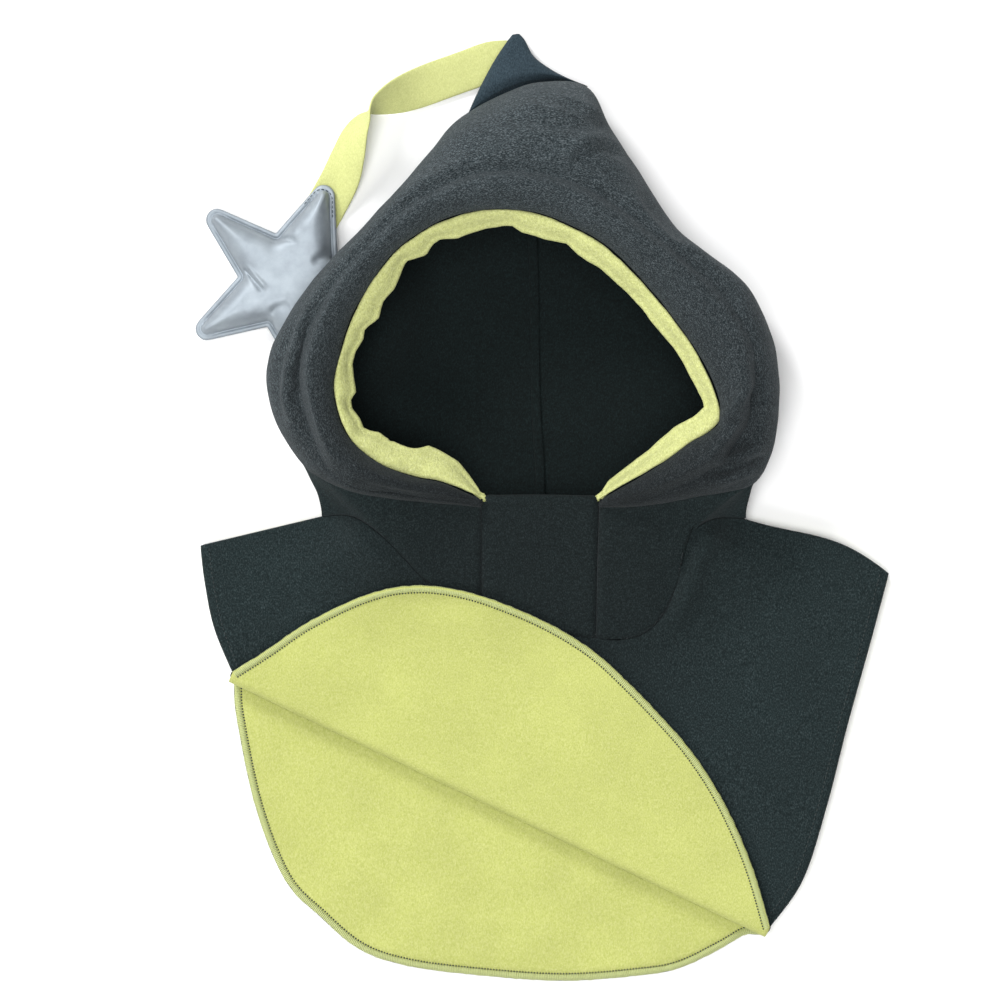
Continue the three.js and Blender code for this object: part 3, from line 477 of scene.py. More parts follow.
class Surface:
    """A new material, whose nodes are each made, set and linked in one step."""

    def __init__(self, name):
        self.material = bpy.data.materials.new(name)
        self.material.use_nodes = True
        self.tree = self.material.node_tree

    def fill(self, node, inputs):
        for name, value in inputs.items():
            if isinstance(value, bpy.types.NodeSocket):
                self.tree.links.new(value, node.inputs[name])
            else:
                node.inputs[name].default_value = value

    def finish(self, **inputs):
        """Sets the shader's inputs, with _ for each space in their names."""
        shader = self.tree.nodes["Principled BSDF"]
        self.fill(shader, {name.replace("_", " "): value for name, value in inputs.items()})
        return self.material

    def node(self, kind, output, inputs, **settings):
        """An output of a new node, whose inputs are values or other nodes' outputs."""
        node = self.tree.nodes.new(f"ShaderNode{kind}")
        for name, value in settings.items():
            setattr(node, name, value)
        self.fill(node, inputs)
        return node.outputs[output]

    def places(self, kind="Object"):
        return self.node("TexCoord", kind, {})

    def axes(self, vector):
        return self.node("SeparateXYZ", "X", {"Vector": vector}).node.outputs

    def vector(self, operation, output, *values):
        return self.node("VectorMath", output, dict(enumerate(values)), operation=operation)

    def number(self, operation, *values):
        return self.node("Math", "Value", dict(enumerate(values)), operation=operation)

    def noise(self, place, scale, detail, roughness=0.6, stretch=(1, 1, 1)):
        stretched = self.node("Mapping", "Vector", {"Vector": place, "Scale": stretch})
        inputs = {"Vector": stretched, "Scale": scale, "Detail": detail, "Roughness": roughness}
        return self.node("TexNoise", "Fac", inputs)

    def ramp(self, share, stops):
        """A colour for each share, blended between stops."""
        colour = self.node("ValToRGB", "Color", {"Fac": share})
        elements = colour.node.color_ramp.elements
        for element, (position, tone) in zip(elements, (stops[0], stops[-1])):
            element.position = position
            element.color = (*tone, 1)
        for position, tone in stops[1:-1]:
            elements.new(position).color = (*tone, 1)
        return colour

    def multiply(self, first, second):
        inputs = {"Factor": 1.0, "A": first, "B": second}
        return self.node("Mix", "Result", inputs, data_type="RGBA", blend_type="MULTIPLY")

    def mottled(self, colour, pattern, darkest):
        return self.multiply(colour, self.ramp(pattern, ((0.3, (darkest,) * 3), (0.7, (1.0,) * 3))))

    def shaded(self, colour, value, low, high, at_low, at_high):
        """A colour, darker or lighter with a value that runs from low to high."""
        inputs = {"Value": value, "From Min": low, "From Max": high, "To Min": at_low, "To Max": at_high}
        return self.multiply(colour, self.node("MapRange", "Result", inputs, interpolation_type="SMOOTHSTEP"))

    def bump(self, first, second, share, strength, distance):
        """A relief of two patterns."""
        height = self.node("Mix", "Result", {"Factor": share, "A": first, "B": second}, data_type="FLOAT")
        return self.node("Bump", "Normal", {"Strength": strength, "Distance": distance, "Height": height})


def round_opening(surface, place):
    """Places counted along circles round the face opening, the way that the hood's nap is brushed."""
    from_middle = surface.vector("SUBTRACT", "Vector", place, OPENING_MIDDLE)
    axes = surface.axes(from_middle)
    along = surface.number("MULTIPLY", surface.number("ARCTAN2", axes["Y"], axes["X"]), NAP_RADIUS)
    away = surface.vector("LENGTH", "Value", from_middle)
    return surface.node("CombineXYZ", "Vector", {"X": along, "Y": away, "Z": axes["Z"]})


def fleece(name, stops, mottle, sheen, tint, bump, neck=None, brushed=False):
    """Brushed fleece: flecks of single fibres over soft clouds of nap.

    The colour is painted darker towards the neck, as painted shade, and lighter further off where the far
    shade is above one, as painted light: neck gives the distances and the shades between which that changes.
    """
    surface = Surface(name)
    place = surface.places()
    lie = round_opening(surface, place) if brushed else place
    fibres = surface.noise(lie, FIBRES, 3, 0.65, (0.55, 1.35, 1.35) if brushed else (1.0, 0.55, 1.0))
    nap = surface.noise(lie, NAP, 4, 0.6, (0.45, 1.25, 1.25) if brushed else (1.0, 1.0, 1.0))
    clouds = surface.noise(place, 30, 3, 0.5)
    colour = surface.mottled(surface.mottled(surface.ramp(fibres, stops), nap, mottle), clouds, 0.9)
    # painted shade towards the neck, painted light further off where the far shade is above one
    if neck is not None:
        colour = surface.shaded(colour, surface.vector("DISTANCE", "Value", place, NECK_MIDDLE), *neck)
    return surface.finish(
        Base_Color=colour, Roughness=0.95, Specular_IOR_Level=0.2, Sheen_Weight=sheen, Sheen_Roughness=0.55,
        Sheen_Tint=(*tint, 1), Normal=surface.bump(fibres, nap, 0.45, bump, 0.0012),
    )


def thread(name, colour):
    surface = Surface(name)
    twist = surface.noise(surface.places(), 2400, 2)
    tone = surface.ramp(twist, ((0.3, tuple(0.7 * c for c in colour)), (0.7, colour)))
    return surface.finish(Base_Color=tone, Roughness=0.7)


def silver_cloth(name):
    """Metallic coated cloth, soft and slightly blue, with fine creasing.

    Painted shade makes it darker where the cloth slopes down to the rim or into a crease, by how far the
    surface turns from facing up.
    """
    surface = Surface(name)
    place = surface.places()
    creases = surface.noise(place, 60, 5, 0.6)
    grain = surface.noise(place, 1500, 2)
    tone = surface.ramp(creases, SILVER_STOPS)
    # painted shade: the colour darkens as the surface turns from facing up
    upright = surface.number("ABSOLUTE", surface.axes(surface.places("Normal"))["Z"])
    return surface.finish(
        Base_Color=surface.shaded(tone, upright, 0.68, 0.95, 0.8, 1.0), Metallic=0.3, Roughness=0.55,
        Normal=surface.bump(creases, grain, 0.25, 0.25, 0.0008),
    )


# Colours of each cloth at shares of its pattern, from dark to light
DARK_STOPS = (
    (0.32, (0.0048, 0.0088, 0.0104)), (0.5, (0.0248, 0.0336, 0.0376)), (0.67, (0.116, 0.136, 0.1456)),
)
# The cape's fleece, painted darker than the hood's: painted shade
CAPE_SHADE_STOPS = ((0.32, (0.004, 0.01, 0.011)), (0.5, (0.012, 0.022, 0.023)), (0.68, (0.04, 0.059, 0.062)))
# The fleece inside the hood and on the seam there, painted nearly black: painted shade of the deep hood
INSIDE_SHADE_STOPS = ((0.32, (0.001, 0.003, 0.003)), (0.5, (0.003, 0.0075, 0.0075)), (0.68, (0.009, 0.018, 0.019)))
# The tip's fleece, painted darker: painted shade under the fold
TIP_SHADE_STOPS = ((0.3, (0.018, 0.032, 0.042)), (0.5, (0.032, 0.052, 0.067)), (0.7, (0.056, 0.084, 0.105)))
LIME_STOPS = (
    (0.3, (0.3948, 0.4324, 0.1081)), (0.55, (0.4982, 0.5264, 0.1692)), (0.75, (0.5922, 0.611, 0.2538)),
)
# The band's lime fleece, painted lighter than the lining: painted light against the ring's shade
BAND_LIT_STOPS = (
    (0.3, (0.515, 0.5459, 0.1854)), (0.55, (0.6798, 0.7107, 0.2987)), (0.75, (0.8137, 0.8446, 0.4429)),
)
# The ribbon's lime fleece, painted lighter than the lining: painted light on its shaded strip
RIBBON_LIT_STOPS = (
    (0.3, (0.5336, 0.5612, 0.2116)), (0.55, (0.6256, 0.6532, 0.2668)), (0.75, (0.6992, 0.7176, 0.3312)),
)
SILVER_STOPS = ((0.3, (0.25, 0.285, 0.32)), (0.5, (0.31, 0.355, 0.395)), (0.7, (0.37, 0.42, 0.46)))
COOL = (0.85, 0.95, 1.0)
WARM = (1.0, 1.0, 0.85)
# The hood's fleece: painted shade near the neck and painted light over the cone
DARK = fleece("dark_fleece", DARK_STOPS, 0.5, 0.06, COOL, 0.8, neck=(0.045, 0.25, 0.36, 1.5), brushed=True)
# The same fleece as the hood with painted shade, and more painted shade towards the neck
DARK_CAPE_SHADED = fleece("dark_fleece_cape_painted_shade", CAPE_SHADE_STOPS, 0.6, 0.03, COOL, 0.6, neck=(0.045, 0.15, 0.55, 1.0))
# painted shade of the tip under the fold
DARK_TIP_SHADED = fleece("dark_fleece_tip_painted_shade", TIP_SHADE_STOPS, 0.8, 0.03, COOL, 0.4)
# painted shade inside the hood
DARK_INSIDE_SHADED = fleece("dark_fleece_inside_painted_shade", INSIDE_SHADE_STOPS, 0.62, 0.02, COOL, 0.5)
LIME = fleece("lime_fleece", LIME_STOPS, 0.9, 0.1, WARM, 0.45)
# painted light on the ribbon
LIME_RIBBON_LIT = fleece("lime_fleece_ribbon_painted_light", RIBBON_LIT_STOPS, 0.92, 0.1, WARM, 0.4)
# painted light on the band
LIME_BAND_LIT = fleece("lime_fleece_band_painted_light", BAND_LIT_STOPS, 0.75, 0.1, WARM, 0.9)
DARK_THREAD = thread("dark_thread", (0.02, 0.03, 0.03))
LIME_THREAD = thread("lime_thread", (0.52, 0.57, 0.24))
GREY_THREAD = thread("grey_thread", (0.06, 0.08, 0.1))
SILVER = silver_cloth("silver_cloth")


# Hood

HOOD_RIM, HOOD_SIDE = np.array([row[:2] for row in HOOD], float).transpose(1, 0, 2)
HOOD_MORE = np.array([row[2:] for row in HOOD], float)
PLACES = [i / HOOD_SPLIT for i in range((len(HOOD) - 1) * HOOD_SPLIT + 1)]
SECTIONS = [(curve_at(HOOD_RIM, t), curve_at(HOOD_SIDE, t), *curve_at(HOOD_MORE, t)) for t in PLACES]
FIRST = OUTLINE_START * HOOD_SPLIT
LAST = len(SECTIONS) - 1 - FIRST
MIDDLE = (len(SECTIONS) - 1) // 2
TIP_ROUNDING = 62
RING_POINTS = 16
ROUND_POINTS = 24
FULL_RING = 20
VALLEY_WIDTH = 3.5
RING_SWELL = 5.5
SWELL_FROM = 12
SWELL_REACH = 8


def hood_section(section):
    """From the rim over the ring and the dip behind it, then round to the outline."""
    rim, side, _, ring, dip = section
    length = np.linalg.norm(rim - side)
    ring = min(ring, 0.85 * length)
    height = RING_HEIGHT * min(1, ring / FULL_RING)
    valley = min(ring + VALLEY_WIDTH, 0.5 * (ring + length))
    crest = rim[2] + height
    knots = [(ring * share, rim[2] + height * rise) for share, rise in RIM_RISE]
    knots += [(ring, crest - 0.35 * dip), (valley, crest - dip)]
    ringside = evenly(knots, RING_POINTS)
    swell = RING_SWELL * smooth((length - valley - SWELL_FROM) / SWELL_FROM)
    for angle in np.linspace(0, math.pi / 2, ROUND_POINTS + 1)[1:]:
        out = mix(valley, length, math.sin(angle))
        rise = swell * math.cos(angle) * (1 - math.exp(-(((out - valley) / SWELL_REACH) ** 2)))
        ringside = np.vstack([ringside, (out, mix(side[2], crest - dip, math.cos(angle)) + rise)])
    plan = rim[:2] + (side - rim)[:2] * (ringside[:, :1] / length)
    return np.column_stack([plan, ringside[:, 1]])


def lift_over_star(plan):
    """The star lies partly under the hood and lifts it there."""
    away = np.linalg.norm(plan - np.array(STAR_LIFT_CENTRE))
    return STAR_LIFT * smooth((STAR_LIFT_REACH - away) / STAR_LIFT_SLOPE)


CORNER_ANGLES = np.radians(np.linspace(0, 90, 10))
FLOOR_SHARES = np.linspace(0, 1, 19)[1:]


def under_half(side, middle, depth):
    """From the outline down its rounded lower corner and along the surface to the middle."""
    width = np.linalg.norm(side[:2] - middle)
    corner = min(FLOOR_CORNER, 0.8 * width)
    steps = [(corner * (1 - math.cos(a)), math.sin(a)) for a in CORNER_ANGLES]
    steps += [(mix(corner, width, share), 1.0) for share in FLOOR_SHARES]
    points = []
    for inward, share in steps:
        plan = mix(side[:2], middle, inward / width if width else 0)
        low = mix(side[2], lift_over_star(plan), depth)
        points.append((*plan, mix(side[2], low, share)))
    return np.array(points)


CURVES = [hood_section(section) for section in SECTIONS]


def under_row(k):
    left, right = CURVES[FIRST + k][-1], CURVES[LAST - k][-1]
    width = np.linalg.norm(left - right)
    depth = math.sqrt(min(1, width / TIP_ROUNDING))
    centre = (left[:2] + right[:2]) / 2
    if width > TIP_ROUNDING:
        centre[0] = mix(centre[0], SEAM_X, 0.7 * smooth((width - TIP_ROUNDING) / 30))
    return under_half(left, centre, depth), under_half(right, centre, depth)


def front_height(plan):
    """Height of the outside of the front cloth over the neck and the bib."""
    from_neck = distance_to_line(plan, NECK_CORE)
    from_shoulder = np.minimum(distance_to_line(plan, SHOULDER_LEFT), distance_to_line(plan, SHOULDER_RIGHT))
    settle = smooth(from_shoulder / SHOULDER_DROP)
    rise = NECK_RISE * smooth(1 - from_neck / NECK_REACH) * settle
    return CAPE_TOP + rise + folded(plan, NECK_FOLDS) * settle


def from_neck_seam(points):
    """Share of the free unevenness: none along the neck seam, where two cloths meet."""
    away = np.minimum(distance_to_line(points, NECK_SEAM_LEFT), distance_to_line(points, NECK_SEAM_RIGHT))
    return smooth(away / SEAM_REACH)


def neck_edge(seam, back_end):
    front = evenly(seam, FIRST)
    front = np.column_stack([front, front_height(front)])
    floor = under_half(front[-1], np.array(back_end, float), 1.0)[1:]
    reach = np.linalg.norm(front[-1][:2] - np.array(back_end))
    share = np.linalg.norm(floor[:, :2] - front[-1][:2], axis=1) / reach
    floor[:, 1] -= NECK_SAG * np.sin(math.pi * share)
    return np.vstack([front, floor])


NECK_ROWS = 22
SEAM_WIDTH = 2.0
SEAM_DEPTH = 1.5
SEAM_LIP = 0.3
BACK_NECK_MIDDLE = (SEAM_X, -11)


def neck_rows(crease, under, seam, waist):
    top = np.vstack([crease, under[1:]])
    bottom = neck_edge(seam, BACK_NECK_MIDDLE)
    outline = [top[FIRST], bottom[FIRST]]
    rows = []
    for t in np.linspace(0, 1, NECK_ROWS + 1):
        row = mix(top, bottom, t)
        near = smooth(1 - distance_to_line(row, outline) / WAIST_REACH)
        row[:, 0] -= waist * near * math.sin(math.pi * t)
        rows.append(row)
    return rows


UNDER_LEFT, UNDER_RIGHT = under_row(0)
LEFT_NECK = neck_rows([curve[-1] for curve in CURVES[:FIRST + 1]], UNDER_LEFT, NECK_SEAM_LEFT, -WAIST_LEFT)
RIGHT_CREASE = [curve[-1] for curve in CURVES[LAST:][::-1]]
RIGHT_NECK = neck_rows(RIGHT_CREASE, UNDER_RIGHT, NECK_SEAM_RIGHT, WAIST_RIGHT)


def insert_seams(points):
    """The seams on both sides of the panel under the chin, drawn into the cloth."""
    moved = np.zeros(len(points))
    for chin, foot in ((HOOD_RIM[0], NECK_SEAM_LEFT[0]), (HOOD_RIM[-1], NECK_SEAM_RIGHT[0])):
        away = distance_to_line(points, [chin[:2], foot])
        lip = SEAM_LIP * np.exp(-(((away - 2 * SEAM_WIDTH) / SEAM_WIDTH) ** 2))
        moved += lip - SEAM_DEPTH * np.exp(-((away / SEAM_WIDTH) ** 2))
    return moved


def hood_relief(points, normals):
    """Creases of the top side, then soft unevenness everywhere above the surface that it lies on."""
    moved = (folded(points, HOOD_FOLDS) + insert_seams(points)) * smooth(normals[:, 2] * 2)
    free = smooth((points[:, 2] - 4) / 10) * from_neck_seam(points)
    return moved + wander(points, HOOD_WAVES) * free


def make_hood():
    sheet = Sheet()
    sheet.grid([curve[::-1] for curve in CURVES])
    rows = []
    for k in range(MIDDLE - FIRST + 1):
        left, right = under_row(k)
        rows.append(np.vstack([right, left[::-1][1:]]))
    sheet.grid(rows)
    neck_faces = len(sheet.faces)
    sheet.grid(LEFT_NECK)
    sheet.grid([row[::-1] for row in RIGHT_NECK])
    hood = cloth("hood_shell", sheet, DARK, HOOD_CLOTH, relief=hood_relief, edge=0.15, inside=DARK_INSIDE_SHADED)
    # The neck's faces take the cape's darker fleece: painted shade under the ring
    hood.data.materials.append(DARK_CAPE_SHADED)
    for index in range(neck_faces, len(sheet.faces)):
        hood.data.polygons[index].material_index = 2
    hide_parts("hood_ring", "hood_left", "hood_right", "hood_back", "neck_left", "neck_right")
    return hood


PANEL_COLUMNS = 28
PANEL_INSET = 0.006
PANEL_TURNED_IN = [(0, 1.6, -6.5), (0, 2.6, -3.6), (0, 2.2, -1.2), (0, 0.9, -0.1)]
PANEL_BOW = (0, 0.9, 0.5)
CHIN_Y, CHIN_REACH, CHIN_FADE = 4, 9, 12
FOOT_Y, FOOT_FADE = -62, 14


def make_neck_insert():
    """The panel under the chin, between the inner edges of the neck, with its upper edge turned in."""
    sides = []
    for neck, (chin, *_) in ((LEFT_NECK, SECTIONS[0]), (RIGHT_NECK, SECTIONS[-1])):
        side = np.array([row[0] for row in neck])
        sides.append(np.vstack([chin + np.array(PANEL_TURNED_IN), mix(chin, side[0], 0.3), side]))
    shares = np.linspace(0, 1, PANEL_COLUMNS + 1)
    rows = []
    for left, right in zip(*sides):
        row = mix(left, right, mix(PANEL_INSET, 1 - PANEL_INSET, shares)[:, None])
        bow = np.sin(math.pi * shares) * np.maximum(0, 1 - np.abs(row[:, 1] - CHIN_Y) / CHIN_REACH)
        rows.append((row + bow[:, None] * PANEL_BOW)[::-1])

    def relief(points, normals):
        free = smooth((CHIN_Y - points[:, 1]) / CHIN_FADE) * smooth((points[:, 1] - FOOT_Y) / FOOT_FADE)
        return wander(points, PANEL_WAVES) * free + insert_seams(points)

    insert = cloth("neck_panel", Sheet().grid(rows), DARK_CAPE_SHADED, HOOD_CLOTH, relief=relief, edge=0.15)
    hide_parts("neck_insert")
    return insert


def reach_to(origin, way, line, low, high):
    """How far a straight way from a point runs before it meets a line, kept between two limits."""
    found = []
    for a, b in zip(line[:-1], line[1:]):
        along, gap = np.subtract(b, a), a - origin
        cross = way[0] * along[1] - way[1] * along[0]
        if abs(cross) < 1e-9:
            continue
        reach = (gap[0] * along[1] - gap[1] * along[0]) / cross
        share = (gap[0] * way[1] - gap[1] * way[0]) / cross
        if -0.001 <= share <= 1.001 and reach > 0:
            found.append(reach)
    return min(high, max(low, min(found, default=low)))


BAND_CLOTH = 2.0
BAND_FOLD = 2.3
BAND_DROP = 5.2
BAND_START = (0.4, -1.0)
BAND_END = 1.2
BAND_TOP_SHARES = (0.1, 0.25, 0.45, 0.65, 0.85, 1.0)
BAND_TURNS = np.radians([25, 50, 75, 90, 110, 135, 160, 180])
BAND_BACK_SHARES = (0.35, 0.7, 1.0)


def band_relief(points, normals):
    return wander(points, BAND_WAVES)


def make_trim():
    """The lime band: fleece that comes out from under the rim and folds round at its uneven inner edge."""
    rows = []
    for rim, side, trim, _, _ in SECTIONS:
        inward = unit((rim - side)[:2])
        width = max(reach_to(rim[:2], inward, BAND_INNER, 0.8 * trim, 1.25 * trim), BAND_END)
        ends = min(1, trim / 6)
        crown = ends * (1.3 + 0.9 * noise.noise(Vector((rim[0], rim[1], 4)) / 8))
        fold = min(BAND_FOLD * ends, 0.45 * width)
        drop = BAND_DROP * min(1, trim / 8)
        section = [BAND_START]
        for t in BAND_TOP_SHARES:
            swell = crown * math.sin(math.pi * min(1, 0.15 + 0.75 * t))
            section.append((mix(BAND_START[0], width - fold, t), -0.9 - drop * t**1.7 + swell))
        out, down = section[-1]
        for turn in BAND_TURNS:
            section.append((out + fold * math.sin(turn), down - fold * (1 - math.cos(turn))))
        out, down = section[-1]
        for t in BAND_BACK_SHARES:
            section.append((mix(out, BAND_END, t), mix(down, -2 * fold - 1.6, t)))
        rows.append([(*(rim[:2] + inward * reach), rim[2] + z) for reach, z in section])
    trim = cloth("face_band", Sheet().grid(rows), LIME_BAND_LIT, BAND_CLOTH, relief=band_relief)
    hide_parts("face_trim")
    return trim


TIP_STEPS = 40
TIP_AROUND = 48


def make_tip():
    """The end of the cone: a flattened oval that narrows to the point, with a groove along it."""
    rows = np.array(TIP, float)
    rings = []
    for t in np.linspace(0, 1, TIP_STEPS + 1):
        left_x, left_y, right_x, right_y, bow, top = curve_at(rows, t * (len(rows) - 1))
        ring = []
        for c, s in oval(TIP_AROUND, 0.8, 0.75):
            across = 0.5 - 0.5 * c
            up = 0.5 + 0.5 * s
            groove = 1.6 * math.exp(-(((across - 0.62) / 0.16) ** 2)) * up * (1 - t)
            y = mix(left_y, right_y, across) + 4 * bow * across * (1 - across)
            ring.append((mix(left_x, right_x, across), y, mix(TIP_BOTTOM, top, up) - groove))
        rings.append(ring)
    tip = loft("tip", [rings], DARK_TIP_SHADED)
    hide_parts("hood_tip")
    return tip


# Cape

ALONG = unit(np.subtract(FOLD_END, FOLD_START))
ACROSS = np.array([-ALONG[1], ALONG[0]])
FOLD_OUTSIDE = FOLD_INSIDE + 2 * CAPE_CLOTH + PLY_GAP
FOLD_AXIS = CAPE_TOP + FOLD_INSIDE
SIDE_LEFT_STEPS, FOLD_STEPS, SIDE_RIGHT_STEPS = 24, 150, 66
FRONT_ROWS = 46
ROW_CROWDING = 1.25
BEND_STEPS = 10
FLAP_STEPS = 40
LINING_HELD_BACK = 5
BACK_COLUMNS, BACK_ROWS = 200, 40
NECK_SEAM_GAP = 0.7
TAPE_CLOTH = 0.8
TAPE_ACROSS = (-1.6, 0, 1.6, 3.2)
TAPE_HALF = 2.2
TAPE_STEPS = 160
TAPE_GAP = 0.15
SEAM_DRAWN = 1.6


def outward(line, reach):
    """A line moved to the right of the way it runs."""
    way = unit(np.gradient(line, axis=0))
    return line + np.column_stack([way[:, 1], -way[:, 0]]) * reach


def seam_line(steps):
    left = evenly(NECK_SEAM_LEFT, 60)[::-1]
    right = evenly(NECK_SEAM_RIGHT, 60)
    return evenly(np.vstack([left, right])[::4], steps)


def shoulder_bulge(count, t):
    """How far the bulge of the right shoulder moves a row of points, at share t from neck to hem."""
    near = smooth((np.linspace(0, 1, count) - 1 + BULGE_REACH) / BULGE_REACH)
    return SHOULDER_BULGE * near * math.sin(math.pi * t**SHOULDER_SKEW)


def front_sheet(held_back=0):
    """The dark side of the front bib: from the neck round the fold and up along the flap."""
    columns = SIDE_LEFT_STEPS + FOLD_STEPS + SIDE_RIGHT_STEPS
    inner = outward(seam_line(columns), NECK_SEAM_GAP)
    shares = np.linspace(0, 1, FOLD_STEPS + 1)[:, None]
    fold = mix(np.array(FOLD_START), np.array(FOLD_END), shares) + ACROSS * FOLD_OUTSIDE
    side_left = evenly([*SIDE_LEFT[:-1], fold[0]], SIDE_LEFT_STEPS)
    side_right = evenly([*SIDE_RIGHT[:-1], fold[-1]], SIDE_RIGHT_STEPS)[::-1]
    outer = np.vstack([side_left, fold[1:], side_right[1:]])
    rows = []
    for t in np.linspace(0, 1, FRONT_ROWS) ** ROW_CROWDING:
        plan = mix(inner, outer, t)
        plan[:, 1] += shoulder_bulge(len(plan), t)
        rows.append([(*p, z, *UP) for p, z in zip(plan, front_height(plan))])
    sheet = Sheet().grid(rows[held_back:][::-1])
    hem = evenly([fold[0], *FLAP_HEM, fold[-1]], FOLD_STEPS)
    columns = []
    for start, start_height, end in zip(fold, front_height(fold), hem):
        column = [(*start, start_height, *UP)]
        for angle in np.linspace(0, math.pi, BEND_STEPS + 1)[1:]:
            plan = start - ACROSS * FOLD_INSIDE * math.sin(angle)
            toward = (*(ACROSS * math.sin(angle)), math.cos(angle))
            column.append((*plan, FOLD_AXIS - FOLD_INSIDE * math.cos(angle), *toward))
        flap = mix(start, end, np.linspace(0, 1, FLAP_STEPS + 1)[1:, None])
        for plan, height in zip(flap, front_height(flap)):
            reach = np.linalg.norm(plan - start)
            lift = (2 * FOLD_INSIDE - PLY_GAP) * math.exp(-((reach / FOLD_LIFT_REACH) ** 2))
            column.append((*plan, height + PLY_GAP + lift, *DOWN))
        columns.append(column)
    flap = [[column[r] for column in columns] for r in range(len(columns[0]))]
    sheet.grid(flap[::-1])
    return sheet, hem


def cape_relief(points, normals):
    """Soft unevenness of the bib: both faces of the folded cloth move together, up or down."""
    upright = np.abs(normals[:, 2])
    height = np.abs(wander(points * (1, 1, 0), CAPE_WAVES)) * from_neck_seam(points)
    flap = normals[:, 2] < 0
    height[flap] += folded(points[flap], [FLAP_DIMPLE]) * smooth((points[flap, 2] - 12) / 6)
    height[~flap] += folded(points[~flap], CAPE_FOLDS) * smooth((points[~flap, 2] - 12) / 6)
    return np.sign(normals[:, 2]) * height * upright


def make_cape_front():
    sheet, hem = front_sheet()
    outer = cloth("bib_front_outer", sheet, DARK_CAPE_SHADED, CAPE_CLOTH, relief=cape_relief, edge=0.4)
    sheet = front_sheet(LINING_HELD_BACK)[0]
    depth = CAPE_CLOTH + PLY_GAP
    lining = cloth("bib_front_lining", sheet, LIME, CAPE_CLOTH, depth, cape_relief, edge=0.05)
    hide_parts("cape_front_outer")
    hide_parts("cape_front_lining")
    return outer, lining, hem


def make_neck_tape():
    """The seam allowances under the neck seam and under the two seams of the panel under the chin."""
    line = seam_line(TAPE_STEPS)
    rows = []
    for reach in TAPE_ACROSS:
        moved_line = outward(line, reach)
        rows.append([(*p, z, *UP) for p, z in zip(moved_line, front_height(moved_line))])
    sheet = Sheet().grid(rows[::-1])
    for seam in (LEFT_NECK, RIGHT_NECK):
        points = [np.array(row[0]) - (0, 0, SEAM_DRAWN) for row in seam[1:-1]]
        sheet.grid([[point + (reach, 0, 0) for reach in (TAPE_HALF, 0, -TAPE_HALF)] for point in points])
    return cloth("neck_tape", sheet, DARK_CAPE_SHADED, TAPE_CLOTH, HOOD_CLOTH + TAPE_GAP)


def make_cape_back():
    inner = evenly(BACK_NECK, BACK_COLUMNS)
    outer_line = evenly([*SIDE_LEFT[:-1], *BACK_HEM, *SIDE_RIGHT[::-1][1:]], BACK_COLUMNS)

    def back_sheet(last):
        rows = []
        for t in np.linspace(0, last, BACK_ROWS):
            plan = mix(inner, outer_line, t)
            plan[:, 1] += shoulder_bulge(len(plan), t)
            rows.append([(*p, 0.0, *DOWN) for p in plan])
        return Sheet().grid(rows)

    outer = cloth("bib_back_outer", back_sheet(1), DARK_CAPE_SHADED, CAPE_CLOTH, edge=0.4)
    lining = cloth("bib_back_lining", back_sheet(0.996), LIME, CAPE_CLOTH, CAPE_CLOTH + PLY_GAP, edge=0.05)
    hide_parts("cape_back_outer")
    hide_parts("cape_back_lining")
    return outer, lining, outer_line


# Ribbon and star

def make_ribbon():
    line = evenly(RIBBON, 150)
    rings = []
    for i, (x, y, turn) in enumerate(line):
        way = unit(line[min(i + 1, len(line) - 1)][:2] - line[max(i - 1, 0)][:2])
        across = np.array([way[1], -way[0], 0])
        c, s = direction(math.radians(turn))
        height = 0.5 * RIBBON_WIDTH * abs(s) + 0.5 * RIBBON_CLOTH * abs(c) + RIBBON_CLEARANCE
        wide = 0.5 * RIBBON_WIDTH * (across * c + UP * s)
        thick = 0.5 * RIBBON_CLOTH * (UP * c - across * s)
        rings.append([(x, y, height) + wide * a - thick * b for a, b in oval(24, 0.5, 0.5)])
    ribbon = loft("ribbon", [rings], LIME_RIBBON_LIT)
    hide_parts("tail_ribbon")
    return ribbon


SEW_HEIGHT = 3.0
PANEL_RIM = 1.1
STITCH_LINE = STAR_RIM - 0.4
ARM_LIFT = RIBBON_CLOTH + 0.6
STAR_AROUND = 240
STAR_STITCHES = (53, 77)
STAR_SHARES = np.concatenate([np.linspace(0, 0.7, 22), np.linspace(0.7, 1, 28)[1:]])
PAD_REACH = 11.0
PAD_ROUNDNESS = 0.48
EDGE_SHARPNESS = 3.0
STAR_CREASES = [
    ([(-165, 133), (-158, 125), (-151.5, 117)], 1.1, 2.6, 1.3),
    ([(-152, 149.5), (-143, 148), (-132, 146)], 1.5, 1.8, 0.8),
    ([(-114, 146), (-119, 139), (-127, 134)], 2.4, 1.8, 0.6),
    ([(-150, 106), (-144, 110), (-137, 111)], 2.2, 1.4, 0.5),
]


def star_edges():
    """The ten edges of the star, each from the middle of an arm's round end to an inner corner."""
    fifth = math.radians(72)
    corners = []
    for k, (reach, turned) in enumerate(STAR_CORNERS):
        corners.append(direction(STAR_TURN + (k + 0.5) * fifth + math.radians(turned)) * reach)
    edges = []
    for k in range(5):
        arm = STAR_TURN + k * fifth
        end = direction(arm) * STAR_ARM
        for corner, side in ((corners[k - 1], -1), (corners[k], 1)):
            way = end - corner
            span = np.linalg.norm(way)
            lean = math.atan2(way[1], way[0]) + side * math.asin(STAR_ARM_END / span)
            touch = corner + math.sqrt(span**2 - STAR_ARM_END**2) * direction(lean)
            turn = side * ((side * (math.atan2(*(touch - end)[::-1]) - arm)) % (2 * math.pi))
            arc = [end + STAR_ARM_END * direction(arm + turn * share) for share in np.linspace(0, 1, 9)]
            straight = [mix(touch, corner, share) for share in np.linspace(0, 1, 25)[1:]]
            edges.append(np.array(arc + straight))
    return edges


